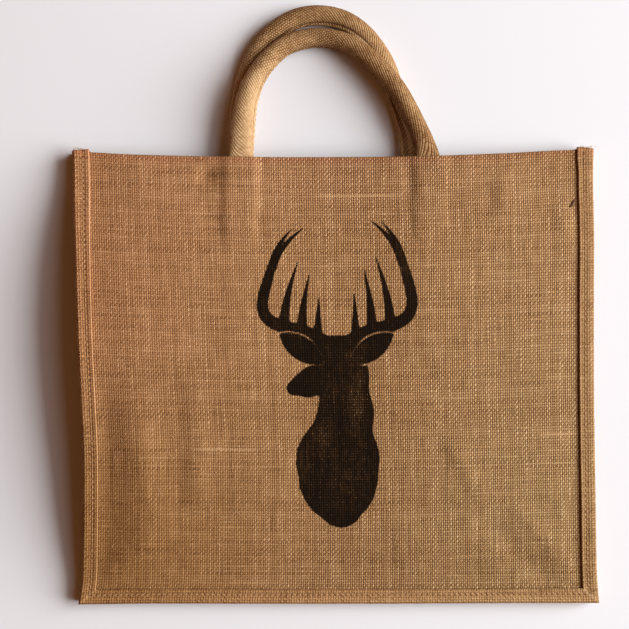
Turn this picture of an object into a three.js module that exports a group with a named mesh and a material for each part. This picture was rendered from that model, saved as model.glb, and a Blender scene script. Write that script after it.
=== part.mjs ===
// Jute tote bag lying on its back, front face up, its two padded handles laid out above the mouth.
// Millimetres. x runs across the face, y from the bottom edge to the mouth, z up from the surface.
// Front and back panel, a folded gusset between them, a folded binding on each seam, two handles.

import * as THREE from "three";
import { mergeVertices } from "three/addons/utils/BufferGeometryUtils.js";

// Cloth and seams
const CLOTH = 1.2; // thickness of the woven jute
const BINDING = 1.6; // thickness of the folded binding strip
const GAP = 0.3; // air between two pieces that are sewn together
const CURVED_GAP = 0.7; // the same where both follow the face's curve
const BINDING_WIDTH = 10.8; // how far the binding covers the face
const BINDING_NOSE = 1.4; // depth of the binding's outer fold
const SEAM = 12; // width of the edge where panel and gusset lie together
const RAW_EDGE = 2.7; // the raw edges end this far inside the binding's fold
const HEM_DEPTH = 31; // height of the turned top hem
const HEM_STEP = 2; // the hem's lower edge thickens over this distance
const HEM_CLEAR = 22; // the hem stays this far from the side edges
const HEM_SIDE_FADE = 8; // and thickens over this distance from there

// Face and gusset
const FACE_WIDTH = 400; // nominal, the tables below give the true outline
const FACE_HEIGHT = 350;
const GUSSET_DEPTH = 150; // full depth of the bag when it stands open
const CREASE_INSET = SEAM / 2 + GUSSET_DEPTH / 2; // where the gusset's middle crease lies
const CREASE_RADIUS = 1.6;
const CREASE_LOW = 5.5; // height of the crease along the base
const CREASE_RISE = 0.3; // share of the edge's own lift that the crease follows

// Heights of the cloth's middle surface above the floor
const BACK_FLAT = CLOTH / 2;
const BACK_EDGE = BINDING + GAP + CLOTH / 2;
const BACK_EDGE_FADE = 26; // over this distance the back panel comes down to the floor
const BOTTOM_LIFT = 11.5; // front panel at the bottom edge
const CROWN = 3; // extra height of the middle of the face
const CROWN_FLATNESS = 4; // the higher, the flatter the middle and the rounder its sides

// Handles
const HANDLE_THICK = 14.6; // thickness of the round stretch
const SEAM_RIDGE = 1.4; // height of the seam that runs along a handle
const TAB_THICK = 5; // flattened end, stitched inside
const TAB_WIDTH = 22;
const TAB_GAP = 0.6; // air between a flattened end and the hem it is sewn to
const TAB_FLATNESS = 0.6; // below 1 the section is boxier than an ellipse
const HANDLE_STEPS = 56;

// The face's outline at the side edges, from the bottom upwards
const SIDES = [
  { y: 0, left: -199.6, right: 206.3, leftLift: 11.5, rightLift: 11.5 },
  { y: 20, left: -196.5, right: 204.2, leftLift: 14.4, rightLift: 14.0 },
  { y: 45, left: -194.7, right: 202.3, leftLift: 21.4, rightLift: 20.2 },
  { y: 80, left: -193.1, right: 200.5, leftLift: 29.2, rightLift: 26.8 },
  { y: 120, left: -192.2, right: 198.7, leftLift: 35.4, rightLift: 32.4 },
  { y: 160, left: -193.3, right: 197.4, leftLift: 39.6, rightLift: 36.2 },
  { y: 200, left: -195.1, right: 197.0, leftLift: 41.2, rightLift: 37.6 },
  { y: 240, left: -196.8, right: 197.2, leftLift: 39.2, rightLift: 36.2 },
  { y: 275, left: -198.7, right: 198.3, leftLift: 33.6, rightLift: 31.4 },
  { y: 300, left: -200.5, right: 199.2, leftLift: 26.6, rightLift: 25.2 },
  { y: 322, left: -202.0, right: 199.9, leftLift: 18.8, rightLift: 18.2 },
  { y: 340, left: -203.2, right: 200.8, leftLift: 14.0, rightLift: 13.8 },
  { y: 356, left: -204.2, right: 201.5, leftLift: 12.2, rightLift: 12.0 },
];

// The top and bottom edges, from left to right, by share of the width
const TOP_AND_BOTTOM = [
  { share: 0, bottom: -0.5, top: 352.2, topLift: 14.2 },
  { share: 0.05, bottom: -0.3, top: 351.0, topLift: 15.6 },
  { share: 0.1, bottom: 0, top: 349.6, topLift: 18.2 },
  { share: 0.18, bottom: 0.2, top: 348.2, topLift: 21.2 },
  { share: 0.3, bottom: 0.1, top: 346.8, topLift: 24.8 },
  { share: 0.45, bottom: 0, top: 346.4, topLift: 24.6 },
  { share: 0.6, bottom: 0.1, top: 346.8, topLift: 24.8 },
  { share: 0.7, bottom: 0.3, top: 347.6, topLift: 24.6 },
  { share: 0.82, bottom: 0.5, top: 349.8, topLift: 21.0 },
  { share: 0.93, bottom: 0.6, top: 352.6, topLift: 16.6 },
  { share: 1, bottom: 0.6, top: 353.6, topLift: 14.0 },
];

// Soft creases and ridges of the face: a line from one point to another, its height and half width
const FOLDS = [
  { x1: 128, y1: 84, x2: 190, y2: 12, height: 1.3, half: 11 },
  { x1: 118, y1: 66, x2: 178, y2: 8, height: -1.1, half: 10 },
  { x1: 84, y1: 132, x2: 114, y2: 78, height: 1.1, half: 11 },
  { x1: -106, y1: 178, x2: -104, y2: 74, height: 1.2, half: 13 },
  { x1: -150, y1: 150, x2: -138, y2: 62, height: 1.5, half: 15 },
  { x1: -182, y1: 20, x2: -120, y2: 74, height: 1.2, half: 12 },
  { x1: 92, y1: 340, x2: 186, y2: 292, height: 1.4, half: 12 },
  { x1: 132, y1: 338, x2: 122, y2: 296, height: 1.3, half: 11 },
  { x1: 176, y1: 318, x2: 180, y2: 268, height: 1.0, half: 10 },
  { x1: 52, y1: 62, x2: 66, y2: 30, height: 0.9, half: 12 },
  { x1: -30, y1: 46, x2: 12, y2: 40, height: -0.8, half: 14 },
  { x1: -160, y1: 330, x2: -118, y2: 300, height: 0.8, half: 13 },
];

// Where the flattened handle ends press the front panel out
const PRESSED = [
  { left: -85, right: -60, low: 296, height: 1.7, side: 8, foot: 26 },
  { left: 60, right: 84, low: 300, height: 1.6, side: 8, foot: 20 },
];

// Routes of the handles outside the bag: middle of the section, its width, its height, and where
// its seam points, in degrees from straight up towards the inside of the loop
const FRONT_ROUTE = [
  { x: -72.0, y: 362, z: 19.2, wide: 18.4, thick: 11.4, seam: 88 },
  { x: -71.0, y: 376, z: 18.8, wide: 17.8, thick: 13.2, seam: 88 },
  { x: -68.6, y: 391, z: 18.4, wide: 16.6, thick: 14.4, seam: 88 },
  { x: -62.9, y: 406.9, z: 17.8, wide: 15.2, thick: 14.6, seam: 90 },
  { x: -53.0, y: 421.6, z: 16.8, wide: 14.6, thick: 14.6, seam: 92 },
  { x: -38.0, y: 435.2, z: 12.8, wide: 14.4, thick: 14.6, seam: 94 },
  { x: -14.0, y: 441.6, z: 10.6, wide: 14.4, thick: 14.6, seam: 96 },
  { x: 9.0, y: 436.8, z: 13.4, wide: 14.4, thick: 14.6, seam: 98 },
  { x: 25.0, y: 425.4, z: 17.6, wide: 14.4, thick: 14.6, seam: 98 },
  { x: 36.0, y: 415.0, z: 19.0, wide: 14.4, thick: 14.6, seam: 98 },
  { x: 46.6, y: 402.6, z: 18.7, wide: 14.4, thick: 14.6, seam: 96 },
  { x: 56.0, y: 387.2, z: 18.2, wide: 14.4, thick: 14.2, seam: 94 },
  { x: 64.6, y: 370.0, z: 18.6, wide: 14.6, thick: 12.6, seam: 92 },
  { x: 69.6, y: 358.0, z: 18.9, wide: 15.6, thick: 11.0, seam: 92 },
];
const BACK_ROUTE = [
  { x: -75.4, y: 362, z: 6.0, wide: 16.6, thick: 8.4, seam: 100 },
  { x: -74.8, y: 376, z: 5.2, wide: 15.6, thick: 8.8, seam: 100 },
  { x: -73.2, y: 392, z: 5.2, wide: 14.8, thick: 9.4, seam: 98 },
  { x: -69.0, y: 411, z: 6.0, wide: 14.6, thick: 11.0, seam: 96 },
  { x: -61.6, y: 429, z: 7.2, wide: 14.4, thick: 13.4, seam: 94 },
  { x: -48.6, y: 446, z: 7.7, wide: 14.4, thick: 14.6, seam: 92 },
  { x: -31.0, y: 457.6, z: 7.7, wide: 14.4, thick: 14.6, seam: 90 },
  { x: -11.0, y: 461.0, z: 7.7, wide: 14.4, thick: 14.6, seam: 84 },
  { x: 8.6, y: 456.6, z: 7.7, wide: 14.4, thick: 14.6, seam: 76 },
  { x: 24.0, y: 445.0, z: 7.4, wide: 14.4, thick: 14.0, seam: 66 },
  { x: 35.4, y: 429.4, z: 6.4, wide: 14.6, thick: 12.0, seam: 54 },
  { x: 43.0, y: 414.0, z: 5.3, wide: 14.8, thick: 9.8, seam: 42 },
  { x: 47.6, y: 398.0, z: 4.8, wide: 14.8, thick: 8.6, seam: 32 },
  { x: 53.4, y: 380.0, z: 5.0, wide: 15.0, thick: 8.2, seam: 24 },
  { x: 57.8, y: 364.0, z: 6.0, wide: 15.6, thick: 8.2, seam: 20 },
];
// A flattened end: how far below the mouth, and the share of its full flatness there
const TAB_DROPS = [
  { drop: 1, flat: 0 },
  { drop: 14, flat: 0.7 },
  { drop: 28, flat: 1 },
  { drop: 48, flat: 1 },
];
const FRONT_TABS = { left: -72.6, right: 71.8, mouthWide: 19, mouthThick: 8.2 };
const BACK_TABS = { left: -75.2, right: 59.8, mouthWide: 17, mouthThick: 8.2 };

// Section of a handle: directions in degrees from its seam, and the share of the seam's ridge there
const HANDLE_SECTION = [
  { turn: 0, ridge: 1 },
  { turn: 11, ridge: 0.85 },
  { turn: 24, ridge: 0 },
  { turn: 54, ridge: 0 },
  { turn: 85, ridge: 0 },
  { turn: 116, ridge: 0 },
  { turn: 148, ridge: 0 },
  { turn: 180, ridge: 0 },
  { turn: 212, ridge: 0 },
  { turn: 244, ridge: 0 },
  { turn: 275, ridge: 0 },
  { turn: 306, ridge: 0 },
  { turn: 336, ridge: 0 },
  { turn: 349, ridge: 0.85 },
];

const JUTE = new THREE.MeshStandardMaterial({ color: 0xa77a53, roughness: 0.95, metalness: 0 });
const JUTE_STRIP = new THREE.MeshStandardMaterial({ color: 0xae8258, roughness: 0.95, metalness: 0 });
const TWILL_TAPE = new THREE.MeshStandardMaterial({ color: 0xb98d5f, roughness: 0.9, metalness: 0 });

// Small helpers

function mix(a, b, share) {
  return a + (b - a) * share;
}

function smooth(share) {
  const t = Math.min(Math.max(share, 0), 1);
  return t * t * (3 - 2 * t);
}

// A smooth curve through one column of a table, read at a value of its key column
function follow(rows, key, column, at) {
  const last = rows.length - 1;
  let i = 0;
  while (i < last - 1 && at > rows[i + 1][key]) {
    i += 1;
  }
  const slope = (k) => {
    const before = rows[Math.max(k - 1, 0)];
    const after = rows[Math.min(k + 1, last)];
    return (after[column] - before[column]) / (after[key] - before[key]);
  };
  const span = rows[i + 1][key] - rows[i][key];
  const t = Math.min(Math.max((at - rows[i][key]) / span, 0), 1);
  const rise = rows[i + 1][column] - rows[i][column];
  const start = slope(i) * span;
  const end = slope(i + 1) * span;
  const bend = 3 * rise - 2 * start - end;
  const twist = start + end - 2 * rise;
  return rows[i][column] + start * t + bend * t ** 2 + twist * t ** 3;
}

// The face: u runs from the left edge to the right, v from the bottom edge to the mouth

function facePoint(u, v) {
  const bottom = follow(TOP_AND_BOTTOM, "share", "bottom", u);
  const top = follow(TOP_AND_BOTTOM, "share", "top", u);
  const y = mix(bottom, top, v);
  const x = mix(follow(SIDES, "y", "left", y), follow(SIDES, "y", "right", y), u);
  return { x, y };
}

function faceShares(x, y) {
  const left = follow(SIDES, "y", "left", y);
  const u = (x - left) / (follow(SIDES, "y", "right", y) - left);
  const bottom = follow(TOP_AND_BOTTOM, "share", "bottom", u);
  const v = (y - bottom) / (follow(TOP_AND_BOTTOM, "share", "top", u) - bottom);
  return { u, v };
}

// How far a point is in from the nearest sewn edge: left, right or bottom
function seamInset(u, v) {
  return Math.min(Math.min(u, 1 - u) * FACE_WIDTH, v * FACE_HEIGHT);
}

// Soft ridge or trough along a straight line, faded out at its ends
function foldHeight(fold, x, y) {
  const alongX = fold.x2 - fold.x1;
  const alongY = fold.y2 - fold.y1;
  const length = Math.hypot(alongX, alongY);
  const along = ((x - fold.x1) * alongX + (y - fold.y1) * alongY) / length;
  const off = ((x - fold.x1) * alongY - (y - fold.y1) * alongX) / length;
  const start = smooth((along + fold.half) / (2 * fold.half));
  const end = smooth((length + fold.half - along) / (2 * fold.half));
  return fold.height * start * end * Math.exp(-((off / fold.half) ** 2));
}

// Raised place with soft sides and a soft foot, running out of the mouth
function pressedHeight(place, x, y) {
  const left = smooth((x - place.left) / place.side + 0.5);
  const right = smooth((place.right - x) / place.side + 0.5);
  return place.height * left * right * smooth((y - place.low) / place.foot + 1);
}

// Share of the crown's height: 0 at both edges, 1 in the middle
function swell(share) {
  return 1 - (2 * share - 1) ** CROWN_FLATNESS;
}

// Middle surface of the front panel above the floor
function frontHeight(u, v) {
  const { x, y } = facePoint(u, v);
  const left = follow(SIDES, "y", "leftLift", y);
  const right = follow(SIDES, "y", "rightLift", y);
  const top = follow(TOP_AND_BOTTOM, "share", "topLift", u);
  const sides = mix(left, right, u);
  const ends = mix(BOTTOM_LIFT, top, v);
  const mouth = SIDES.at(-1);
  const corners = mix(BOTTOM_LIFT, mix(mouth.leftLift, mouth.rightLift, u), v);
  const crown = CROWN * swell(u) * swell(v);
  const calm = smooth((seamInset(u, v) - SEAM) / SEAM);
  let relief = 0;
  for (const fold of FOLDS) {
    relief += foldHeight(fold, x, y);
  }
  for (const place of PRESSED) {
    relief += pressedHeight(place, x, y);
  }
  return sides + ends - corners + crown + relief * calm;
}

// Middle surface of the back panel: up on its binding at the seams, flat on the floor inside them
function backHeight(u, v) {
  const fade = smooth((seamInset(u, v) - SEAM) / BACK_EDGE_FADE);
  return mix(BACK_EDGE, BACK_FLAT, fade);
}

// Extra thickness of the turned hem, on the inner side of a panel
function hemExtra(u, v) {
  const down = follow(TOP_AND_BOTTOM, "share", "top", u) - facePoint(u, v).y;
  const clear = Math.min(u, 1 - u) * FACE_WIDTH - HEM_CLEAR;
  return CLOTH * smooth((HEM_DEPTH - down) / HEM_STEP) * smooth(clear / HEM_SIDE_FADE);
}

// A thin closed body over a grid: place(a, b, side) gives the point of one side of the cloth
function sheetMesh(name, acrossStations, alongStations, place, material) {
  const across = acrossStations.length - 1;
  const along = alongStations.length - 1;
  const geometry = new THREE.BoxGeometry(1, 1, 1, across, along, 1);
  const position = geometry.attributes.position;
  for (let i = 0; i < position.count; i += 1) {
    const a = acrossStations[Math.round((position.getX(i) + 0.5) * across)];
    const b = alongStations[Math.round((position.getY(i) + 0.5) * along)];
    const point = place(a, b, Math.sign(position.getZ(i)));
    position.setXYZ(i, point.x, point.y, point.z);
  }
  return closedMesh(name, geometry, material);
}

function closedMesh(name, geometry, material) {
  geometry.deleteAttribute("normal");
  geometry.deleteAttribute("uv");
  const merged = mergeVertices(geometry, 1e-4);
  merged.computeVertexNormals();
  const mesh = new THREE.Mesh(merged, material);
  mesh.name = name;
  return mesh;
}

// Evenly spaced stations, both ends included
function stations(from, to, count) {
  return Array.from({ length: count + 1 }, (_, i) => mix(from, to, i / count));
}

// Panels

// Stations across a panel, closer together along its two sewn edges
function acrossStations(count) {
  const edge = [RAW_EDGE, SEAM, HEM_CLEAR].map((inset) => inset / FACE_WIDTH);
  const farEdge = edge.map((share) => 1 - share).reverse();
  return [...edge, ...stations(edge[2], farEdge[0], count).slice(1, -1), ...farEdge];
}

// Stations from the sewn bottom edge to the mouth, closer together at the hem's lower edge
function upStations(count) {
  const edge = [RAW_EDGE, SEAM, HEM_CLEAR].map((inset) => inset / FACE_HEIGHT);
  const belowHem = 1 - (HEM_DEPTH + HEM_STEP) / FACE_HEIGHT;
  const onHem = 1 - (HEM_DEPTH - HEM_STEP / 2) / FACE_HEIGHT;
  return [...edge, ...stations(edge[2], belowHem, count).slice(1), ...stations(onHem, 1, 3)];
}

function frontPanel() {
  const place = (u, v, side) => {
    const height = frontHeight(u, v);
    const z = side > 0 ? height + CLOTH / 2 : height - CLOTH / 2 - hemExtra(u, v);
    return { ...facePoint(u, v), z };
  };
  return sheetMesh("front_panel", acrossStations(32), upStations(26), place, JUTE);
}

function backPanel() {
  const place = (u, v, side) => {
    const height = backHeight(u, v);
    const z = side > 0 ? height + CLOTH / 2 + hemExtra(u, v) : height - CLOTH / 2;
    return { ...facePoint(u, v), z };
  };
  return sheetMesh("back_panel", acrossStations(16), upStations(13), place, JUTE);
}

// The sewn edge runs down the left side, along the bottom and up the right side.
// turn is 0 to 1 on the left, 1 to 2 along the bottom and 2 to 3 on the right, mitred at 1 and 2.
function edgeShares(turn, inset) {
  const u = inset / FACE_WIDTH;
  const v = inset / FACE_HEIGHT;
  if (turn <= 1) {
    return { u, v: mix(1, v, turn) };
  }
  if (turn <= 2) {
    return { u: mix(u, 1 - u, turn - 1), v };
  }
  return { u: 1 - u, v: mix(v, 1, turn - 2) };
}

function edgeTurns(side, bottom) {
  return [...stations(0, 1, side), ...stations(1, 2, bottom).slice(1), ...stations(2, 3, side).slice(1)];
}

// Gusset: middle surface of one of its legs, from the seam in to the crease
function gussetMiddle(turn, inset, leg) {
  const at = edgeShares(turn, Math.min(inset, SEAM));
  const front = frontHeight(at.u, at.v) - CLOTH - CURVED_GAP;
  const back = backHeight(at.u, at.v) + CLOTH + GAP;
  const seam = edgeShares(turn, SEAM);
  const crease = CREASE_LOW + CREASE_RISE * (frontHeight(seam.u, seam.v) - BOTTOM_LIFT);
  const share = Math.max(inset - SEAM, 0) / (CREASE_INSET - SEAM);
  const inward = (smooth(share) + share) / 2;
  if (leg === "front") {
    return mix(front, crease + CREASE_RADIUS, inward);
  }
  return mix(back, crease - CREASE_RADIUS, inward);
}

// Stations round the gusset's cross-section: in along the back leg, round the crease, out again
const GUSSET_SECTION = [
  { leg: "back", inset: RAW_EDGE },
  { leg: "back", inset: SEAM },
  { leg: "back", inset: 27 },
  { leg: "back", inset: 46 },
  { leg: "back", inset: 66 },
  { leg: "fold", angle: -90 },
  { leg: "fold", angle: -30 },
  { leg: "fold", angle: 30 },
  { leg: "fold", angle: 90 },
  { leg: "front", inset: 70 },
  { leg: "front", inset: 54 },
  { leg: "front", inset: 38 },
  { leg: "front", inset: 24 },
  { leg: "front", inset: SEAM },
  { leg: "front", inset: RAW_EDGE },
];

function gussetPoint(turn, station, side) {
  const half = (side * CLOTH) / 2;
  if (station.leg === "fold") {
    const angle = THREE.MathUtils.degToRad(station.angle);
    const front = gussetMiddle(turn, CREASE_INSET, "front");
    const middle = mix(front, gussetMiddle(turn, CREASE_INSET, "back"), 0.5);
    const radius = CREASE_RADIUS + half;
    return { inset: CREASE_INSET + radius * Math.cos(angle), z: middle + radius * Math.sin(angle) };
  }
  const up = station.leg === "front" ? 1 : -1;
  return { inset: station.inset, z: gussetMiddle(turn, station.inset, station.leg) + up * half };
}

function gusset() {
  const place = (station, turn, side) => {
    const { inset, z } = gussetPoint(turn, station, side);
    const { u, v } = edgeShares(turn, inset);
    const { x, y } = facePoint(u, v);
    return { x, y, z };
  };
  const turns = edgeTurns(24, 10);
  return sheetMesh("gusset", GUSSET_SECTION, turns, place, JUTE);
}

// Bindings

const FOLD_INSET = BINDING_NOSE + BINDING / 2;
const BINDING_TAIL = 2; // the cut ends stand this far past the mouth, at the inner edge
const TAIL_AT_FOLD = 0.2; // share of that at the outer fold
const LEG_BEND = 6.5; // the legs widen to their full opening here
const BACK_LEG_SHORT = 0.6; // the hidden leg is this much narrower

const BINDING_SECTION = [
  { inset: BINDING_WIDTH, leg: 1 },
  { inset: LEG_BEND, leg: 1 },
  { angle: 90 },
  { angle: 45 },
  { angle: 0 },
  { angle: -45 },
  { angle: -90 },
  { inset: LEG_BEND, leg: -1 },
  { inset: BINDING_WIDTH - BACK_LEG_SHORT, leg: -1 },
];

// One point of the binding's section: its inset and its height over the panel's middle surface
function bindingPoint(station, side, gap) {
  const half = (side * BINDING) / 2;
  const outerLeg = CLOTH / 2 + gap + BINDING / 2; // from the panel's middle to the leg on its face
  const innerLeg = outerLeg + CLOTH + gap; // from the panel's middle to the leg behind the gusset
  const middle = (outerLeg - innerLeg) / 2;
  const reach = (outerLeg + innerLeg) / 2 + half;
  if (station.leg) {
    return { inset: station.inset, rise: middle + station.leg * reach };
  }
  const angle = THREE.MathUtils.degToRad(station.angle);
  const inset = FOLD_INSET - (BINDING_NOSE + half) * Math.cos(angle);
  return { inset, rise: middle + reach * Math.sin(angle) };
}

function binding(name, height, up, gap) {
  const place = (station, turn, side) => {
    const { inset, rise } = bindingPoint(station, side, gap);
    const { u, v } = edgeShares(turn, inset);
    const { x, y } = facePoint(u, v);
    const cutEnd = turn === 0 || turn === 3;
    const tail = cutEnd ? BINDING_TAIL * mix(TAIL_AT_FOLD, 1, inset / BINDING_WIDTH) : 0;
    return { x, y: y + tail, z: height(u, v) + up * rise };
  };
  const turns = edgeTurns(24, 10);
  const section = up > 0 ? BINDING_SECTION : [...BINDING_SECTION].reverse();
  return sheetMesh(name, section, turns, place, JUTE_STRIP);
}

// Handles

// The flattened end of a handle, from the mouth down, lying on the inside of its panel
function tabRows(tabs, x, centre) {
  const mouth = follow(TOP_AND_BOTTOM, "share", "top", faceShares(x, FACE_HEIGHT).u);
  return TAB_DROPS.map(({ drop, flat }) => {
    const y = mouth - drop;
    const wide = mix(tabs.mouthWide, TAB_WIDTH, flat);
    const thick = mix(tabs.mouthThick, TAB_THICK, flat);
    return { x, y, z: centre(x, y, thick), wide, thick };
  });
}

function underFront(x, y, thick) {
  const { u, v } = faceShares(x, y);
  return frontHeight(u, v) - CLOTH * 1.5 - TAB_GAP - thick / 2;
}

function overBack(x, y, thick) {
  const { u, v } = faceShares(x, y);
  return backHeight(u, v) + CLOTH * 1.5 + TAB_GAP + thick / 2;
}

// Half the section's reach in one direction: an ellipse at power 1, boxier below it
function boxy(value, power) {
  return Math.sign(value) * Math.abs(value) ** power;
}

function handle(name, route, tabs, centre) {
  const leftEnd = tabRows(tabs, tabs.left, centre).reverse();
  const rightEnd = tabRows(tabs, tabs.right, centre);
  const rows = [
    ...leftEnd.map((row) => ({ ...row, seam: route[0].seam })),
    ...route,
    ...rightEnd.map((row) => ({ ...row, seam: route.at(-1).seam })),
  ];
  const middles = rows.map((row) => new THREE.Vector3(row.x, row.y, row.z));
  const curve = new THREE.CatmullRomCurve3(middles, false, "centripetal");
  const sizes = rows.map((row, i) => ({ ...row, at: i / (rows.length - 1) }));
  const sides = HANDLE_SECTION.length;
  const geometry = new THREE.CylinderGeometry(1, 1, 1, sides, HANDLE_STEPS);
  const position = geometry.attributes.position;
  const up = new THREE.Vector3(0, 0, 1);
  for (let i = 0; i < position.count; i += 1) {
    const t = curve.getUtoTmapping(position.getY(i) + 0.5);
    const radial = Math.hypot(position.getX(i), position.getZ(i));
    const round = Math.atan2(position.getX(i), position.getZ(i)) / (2 * Math.PI);
    const station = HANDLE_SECTION[(Math.round(round * sides) + sides) % sides];
    const along = curve.getTangent(t);
    const across = new THREE.Vector3().crossVectors(along, up).normalize();
    const out = new THREE.Vector3().crossVectors(across, along).normalize();
    const wide = follow(sizes, "at", "wide", t) / 2;
    const thick = follow(sizes, "at", "thick", t) / 2;
    const fullness = smooth((2 * thick - TAB_THICK) / (HANDLE_THICK - TAB_THICK));
    const turn = THREE.MathUtils.degToRad(follow(sizes, "at", "seam", t) + station.turn);
    const ridge = SEAM_RIDGE * station.ridge * fullness;
    const power = mix(TAB_FLATNESS, 1, fullness);
    const reachAcross = wide * boxy(Math.sin(turn), power) + ridge * Math.sin(turn);
    const reachOut = thick * boxy(Math.cos(turn), power) + ridge * Math.cos(turn);
    const point = curve
      .getPoint(t)
      .addScaledVector(across, radial * reachAcross)
      .addScaledVector(out, radial * reachOut);
    position.setXYZ(i, point.x, point.y, point.z);
  }
  return closedMesh(name, geometry, TWILL_TAPE);
}

const bag = new THREE.Group();
bag.add(
  frontPanel(),
  backPanel(),
  gusset(),
  binding("front_binding", frontHeight, 1, CURVED_GAP),
  binding("back_binding", backHeight, -1, GAP),
  handle("front_handle", FRONT_ROUTE, FRONT_TABS, underFront),
  handle("back_handle", BACK_ROUTE, BACK_TABS, overBack),
);

// The origin is under the middle of the whole bag, on the floor
const whole = new THREE.Box3().setFromObject(bag);
const centre = whole.getCenter(new THREE.Vector3());
bag.position.set(-centre.x, -centre.y, -whole.min.z);

export default bag;
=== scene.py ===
"""Looks of a jute tote bag lying on its back, front face up, with two padded handles.

Shapes are worked out in millimetres, in the drawing's own coordinates: x across the face from its
middle, y from the bottom edge to the mouth, z up from the floor. They are moved into the frame and
turned into metres when a mesh is made.
"""

import bpy
import numpy as np
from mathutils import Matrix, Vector


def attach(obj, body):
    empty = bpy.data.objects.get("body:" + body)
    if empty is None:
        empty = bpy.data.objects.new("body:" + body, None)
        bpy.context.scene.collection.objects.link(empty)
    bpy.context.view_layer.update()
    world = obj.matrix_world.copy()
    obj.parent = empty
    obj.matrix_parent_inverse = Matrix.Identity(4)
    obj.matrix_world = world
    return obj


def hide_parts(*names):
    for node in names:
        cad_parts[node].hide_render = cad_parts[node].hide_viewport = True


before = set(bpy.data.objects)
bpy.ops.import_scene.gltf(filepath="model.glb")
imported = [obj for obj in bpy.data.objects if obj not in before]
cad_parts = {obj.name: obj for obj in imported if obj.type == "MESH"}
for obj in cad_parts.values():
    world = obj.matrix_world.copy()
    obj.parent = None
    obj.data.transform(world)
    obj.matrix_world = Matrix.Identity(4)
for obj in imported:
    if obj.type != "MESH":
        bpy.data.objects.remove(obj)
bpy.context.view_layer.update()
collection = bpy.context.scene.collection

# Camera: straight above the face, as in the photograph

SENSOR_WIDTH = 36  # mm
LENS = 83.66  # mm
CAMERA_PLACE = (-0.0167, -0.0085, 1.150)  # m
CAMERA_REACH = 10  # m

camera_data = bpy.data.cameras.new("camera")
camera_data.sensor_width = SENSOR_WIDTH
camera_data.lens = LENS
camera_data.clip_end = CAMERA_REACH
camera = bpy.data.objects.new("camera", camera_data)
camera.location = CAMERA_PLACE
collection.objects.link(camera)
bpy.context.scene.camera = camera

# Cloth and seams, in millimetres

CLOTH = 1.2  # thickness of the woven jute
BINDING = 1.6  # thickness of the folded binding strip
GAP = 0.3  # air between two pieces that are sewn together
CURVED_GAP = 0.7  # the same where both follow the face's curve
BINDING_WIDTH = 12.2  # from the outer fold to the inner edge
BINDING_NOSE = 1.4  # depth of the outer fold
SEAM = 12  # width of the edge where panel and gusset lie together
RAW_EDGE = 2.7  # the raw edges end this far inside the binding's fold
HEM_DEPTH = 31
HEM_STEP = 2  # the hem's lower edge thickens over this distance
HEM_CLEAR = 22  # the hem stays this far from the side edges
HEM_SIDE_FADE = 8  # and thickens over this distance from there
FACE_WIDTH = 400
FACE_HEIGHT = 350
GUSSET_DEPTH = 150  # full depth of the bag when it stands open
CREASE_INSET = SEAM / 2 + GUSSET_DEPTH / 2  # where the gusset's middle crease lies
CREASE_RADIUS = 1.6
CREASE_LOW = 5.5  # height of the crease along the base
CREASE_RISE = 0.3  # share of the edge's own lift that the crease follows
BACK_FLAT = CLOTH / 2
BACK_EDGE = BINDING + GAP + CLOTH / 2
BACK_EDGE_FADE = 26  # over this distance the back panel comes down to the floor
BOTTOM_LIFT = 11.5  # front panel at the bottom edge
CROWN = 3  # extra height of the middle of the face
CROWN_FLATNESS = 4  # the higher, the flatter the middle and the steeper its sides
HANDLE_THICK = 14.6  # of a handle's round stretch
SEAM_RIDGE = 1.4  # height of the seam that runs along a handle
TAB_THICK = 5  # flattened end, stitched inside
TAB_WIDTH = 22
TAB_GAP = 0.6  # air between a flattened end and the hem it is sewn to
TAB_FLATNESS = 0.6  # below 1 the section is boxier than an ellipse
HEM_FACE = CLOTH * 1.5  # from a panel's middle surface to the inner face of its hem


def table(names, rows):
    """Rows of numbers under named columns."""
    return dict(zip(names.split(), np.array(rows, float).T))


# The face's outline and lift: its sides from the bottom up, its bottom and mouth by share of width

SIDES = table("y left right left_lift right_lift", [
    (0, -199.6, 206.3, 11.5, 11.5),
    (20, -196.5, 204.2, 14.4, 14.0),
    (45, -194.7, 202.3, 21.4, 20.2),
    (80, -193.1, 200.5, 29.2, 26.8),
    (120, -192.2, 198.7, 35.4, 32.4),
    (160, -193.3, 197.4, 39.6, 36.2),
    (200, -195.1, 197.0, 41.2, 37.6),
    (240, -196.8, 197.2, 39.2, 36.2),
    (275, -198.7, 198.3, 33.6, 31.4),
    (300, -200.5, 199.2, 26.6, 25.2),
    (322, -202.0, 199.9, 18.8, 18.2),
    (340, -203.2, 200.8, 14.0, 13.8),
    (356, -204.2, 201.5, 12.2, 12.0),
])
ENDS = table("share bottom top top_lift", [
    (0, -0.5, 352.2, 14.2),
    (0.05, -0.3, 351.0, 15.6),
    (0.1, 0, 349.6, 18.2),
    (0.18, 0.2, 348.2, 21.2),
    (0.3, 0.1, 346.8, 24.8),
    (0.45, 0, 346.4, 24.6),
    (0.6, 0.1, 346.8, 24.8),
    (0.7, 0.3, 347.6, 24.6),
    (0.82, 0.5, 349.8, 21.0),
    (0.93, 0.6, 352.6, 16.6),
    (1, 0.6, 353.6, 14.0),
])

# Folds of the face: from x, y to x, y, height and half width; the solid has only the main ones

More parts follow.
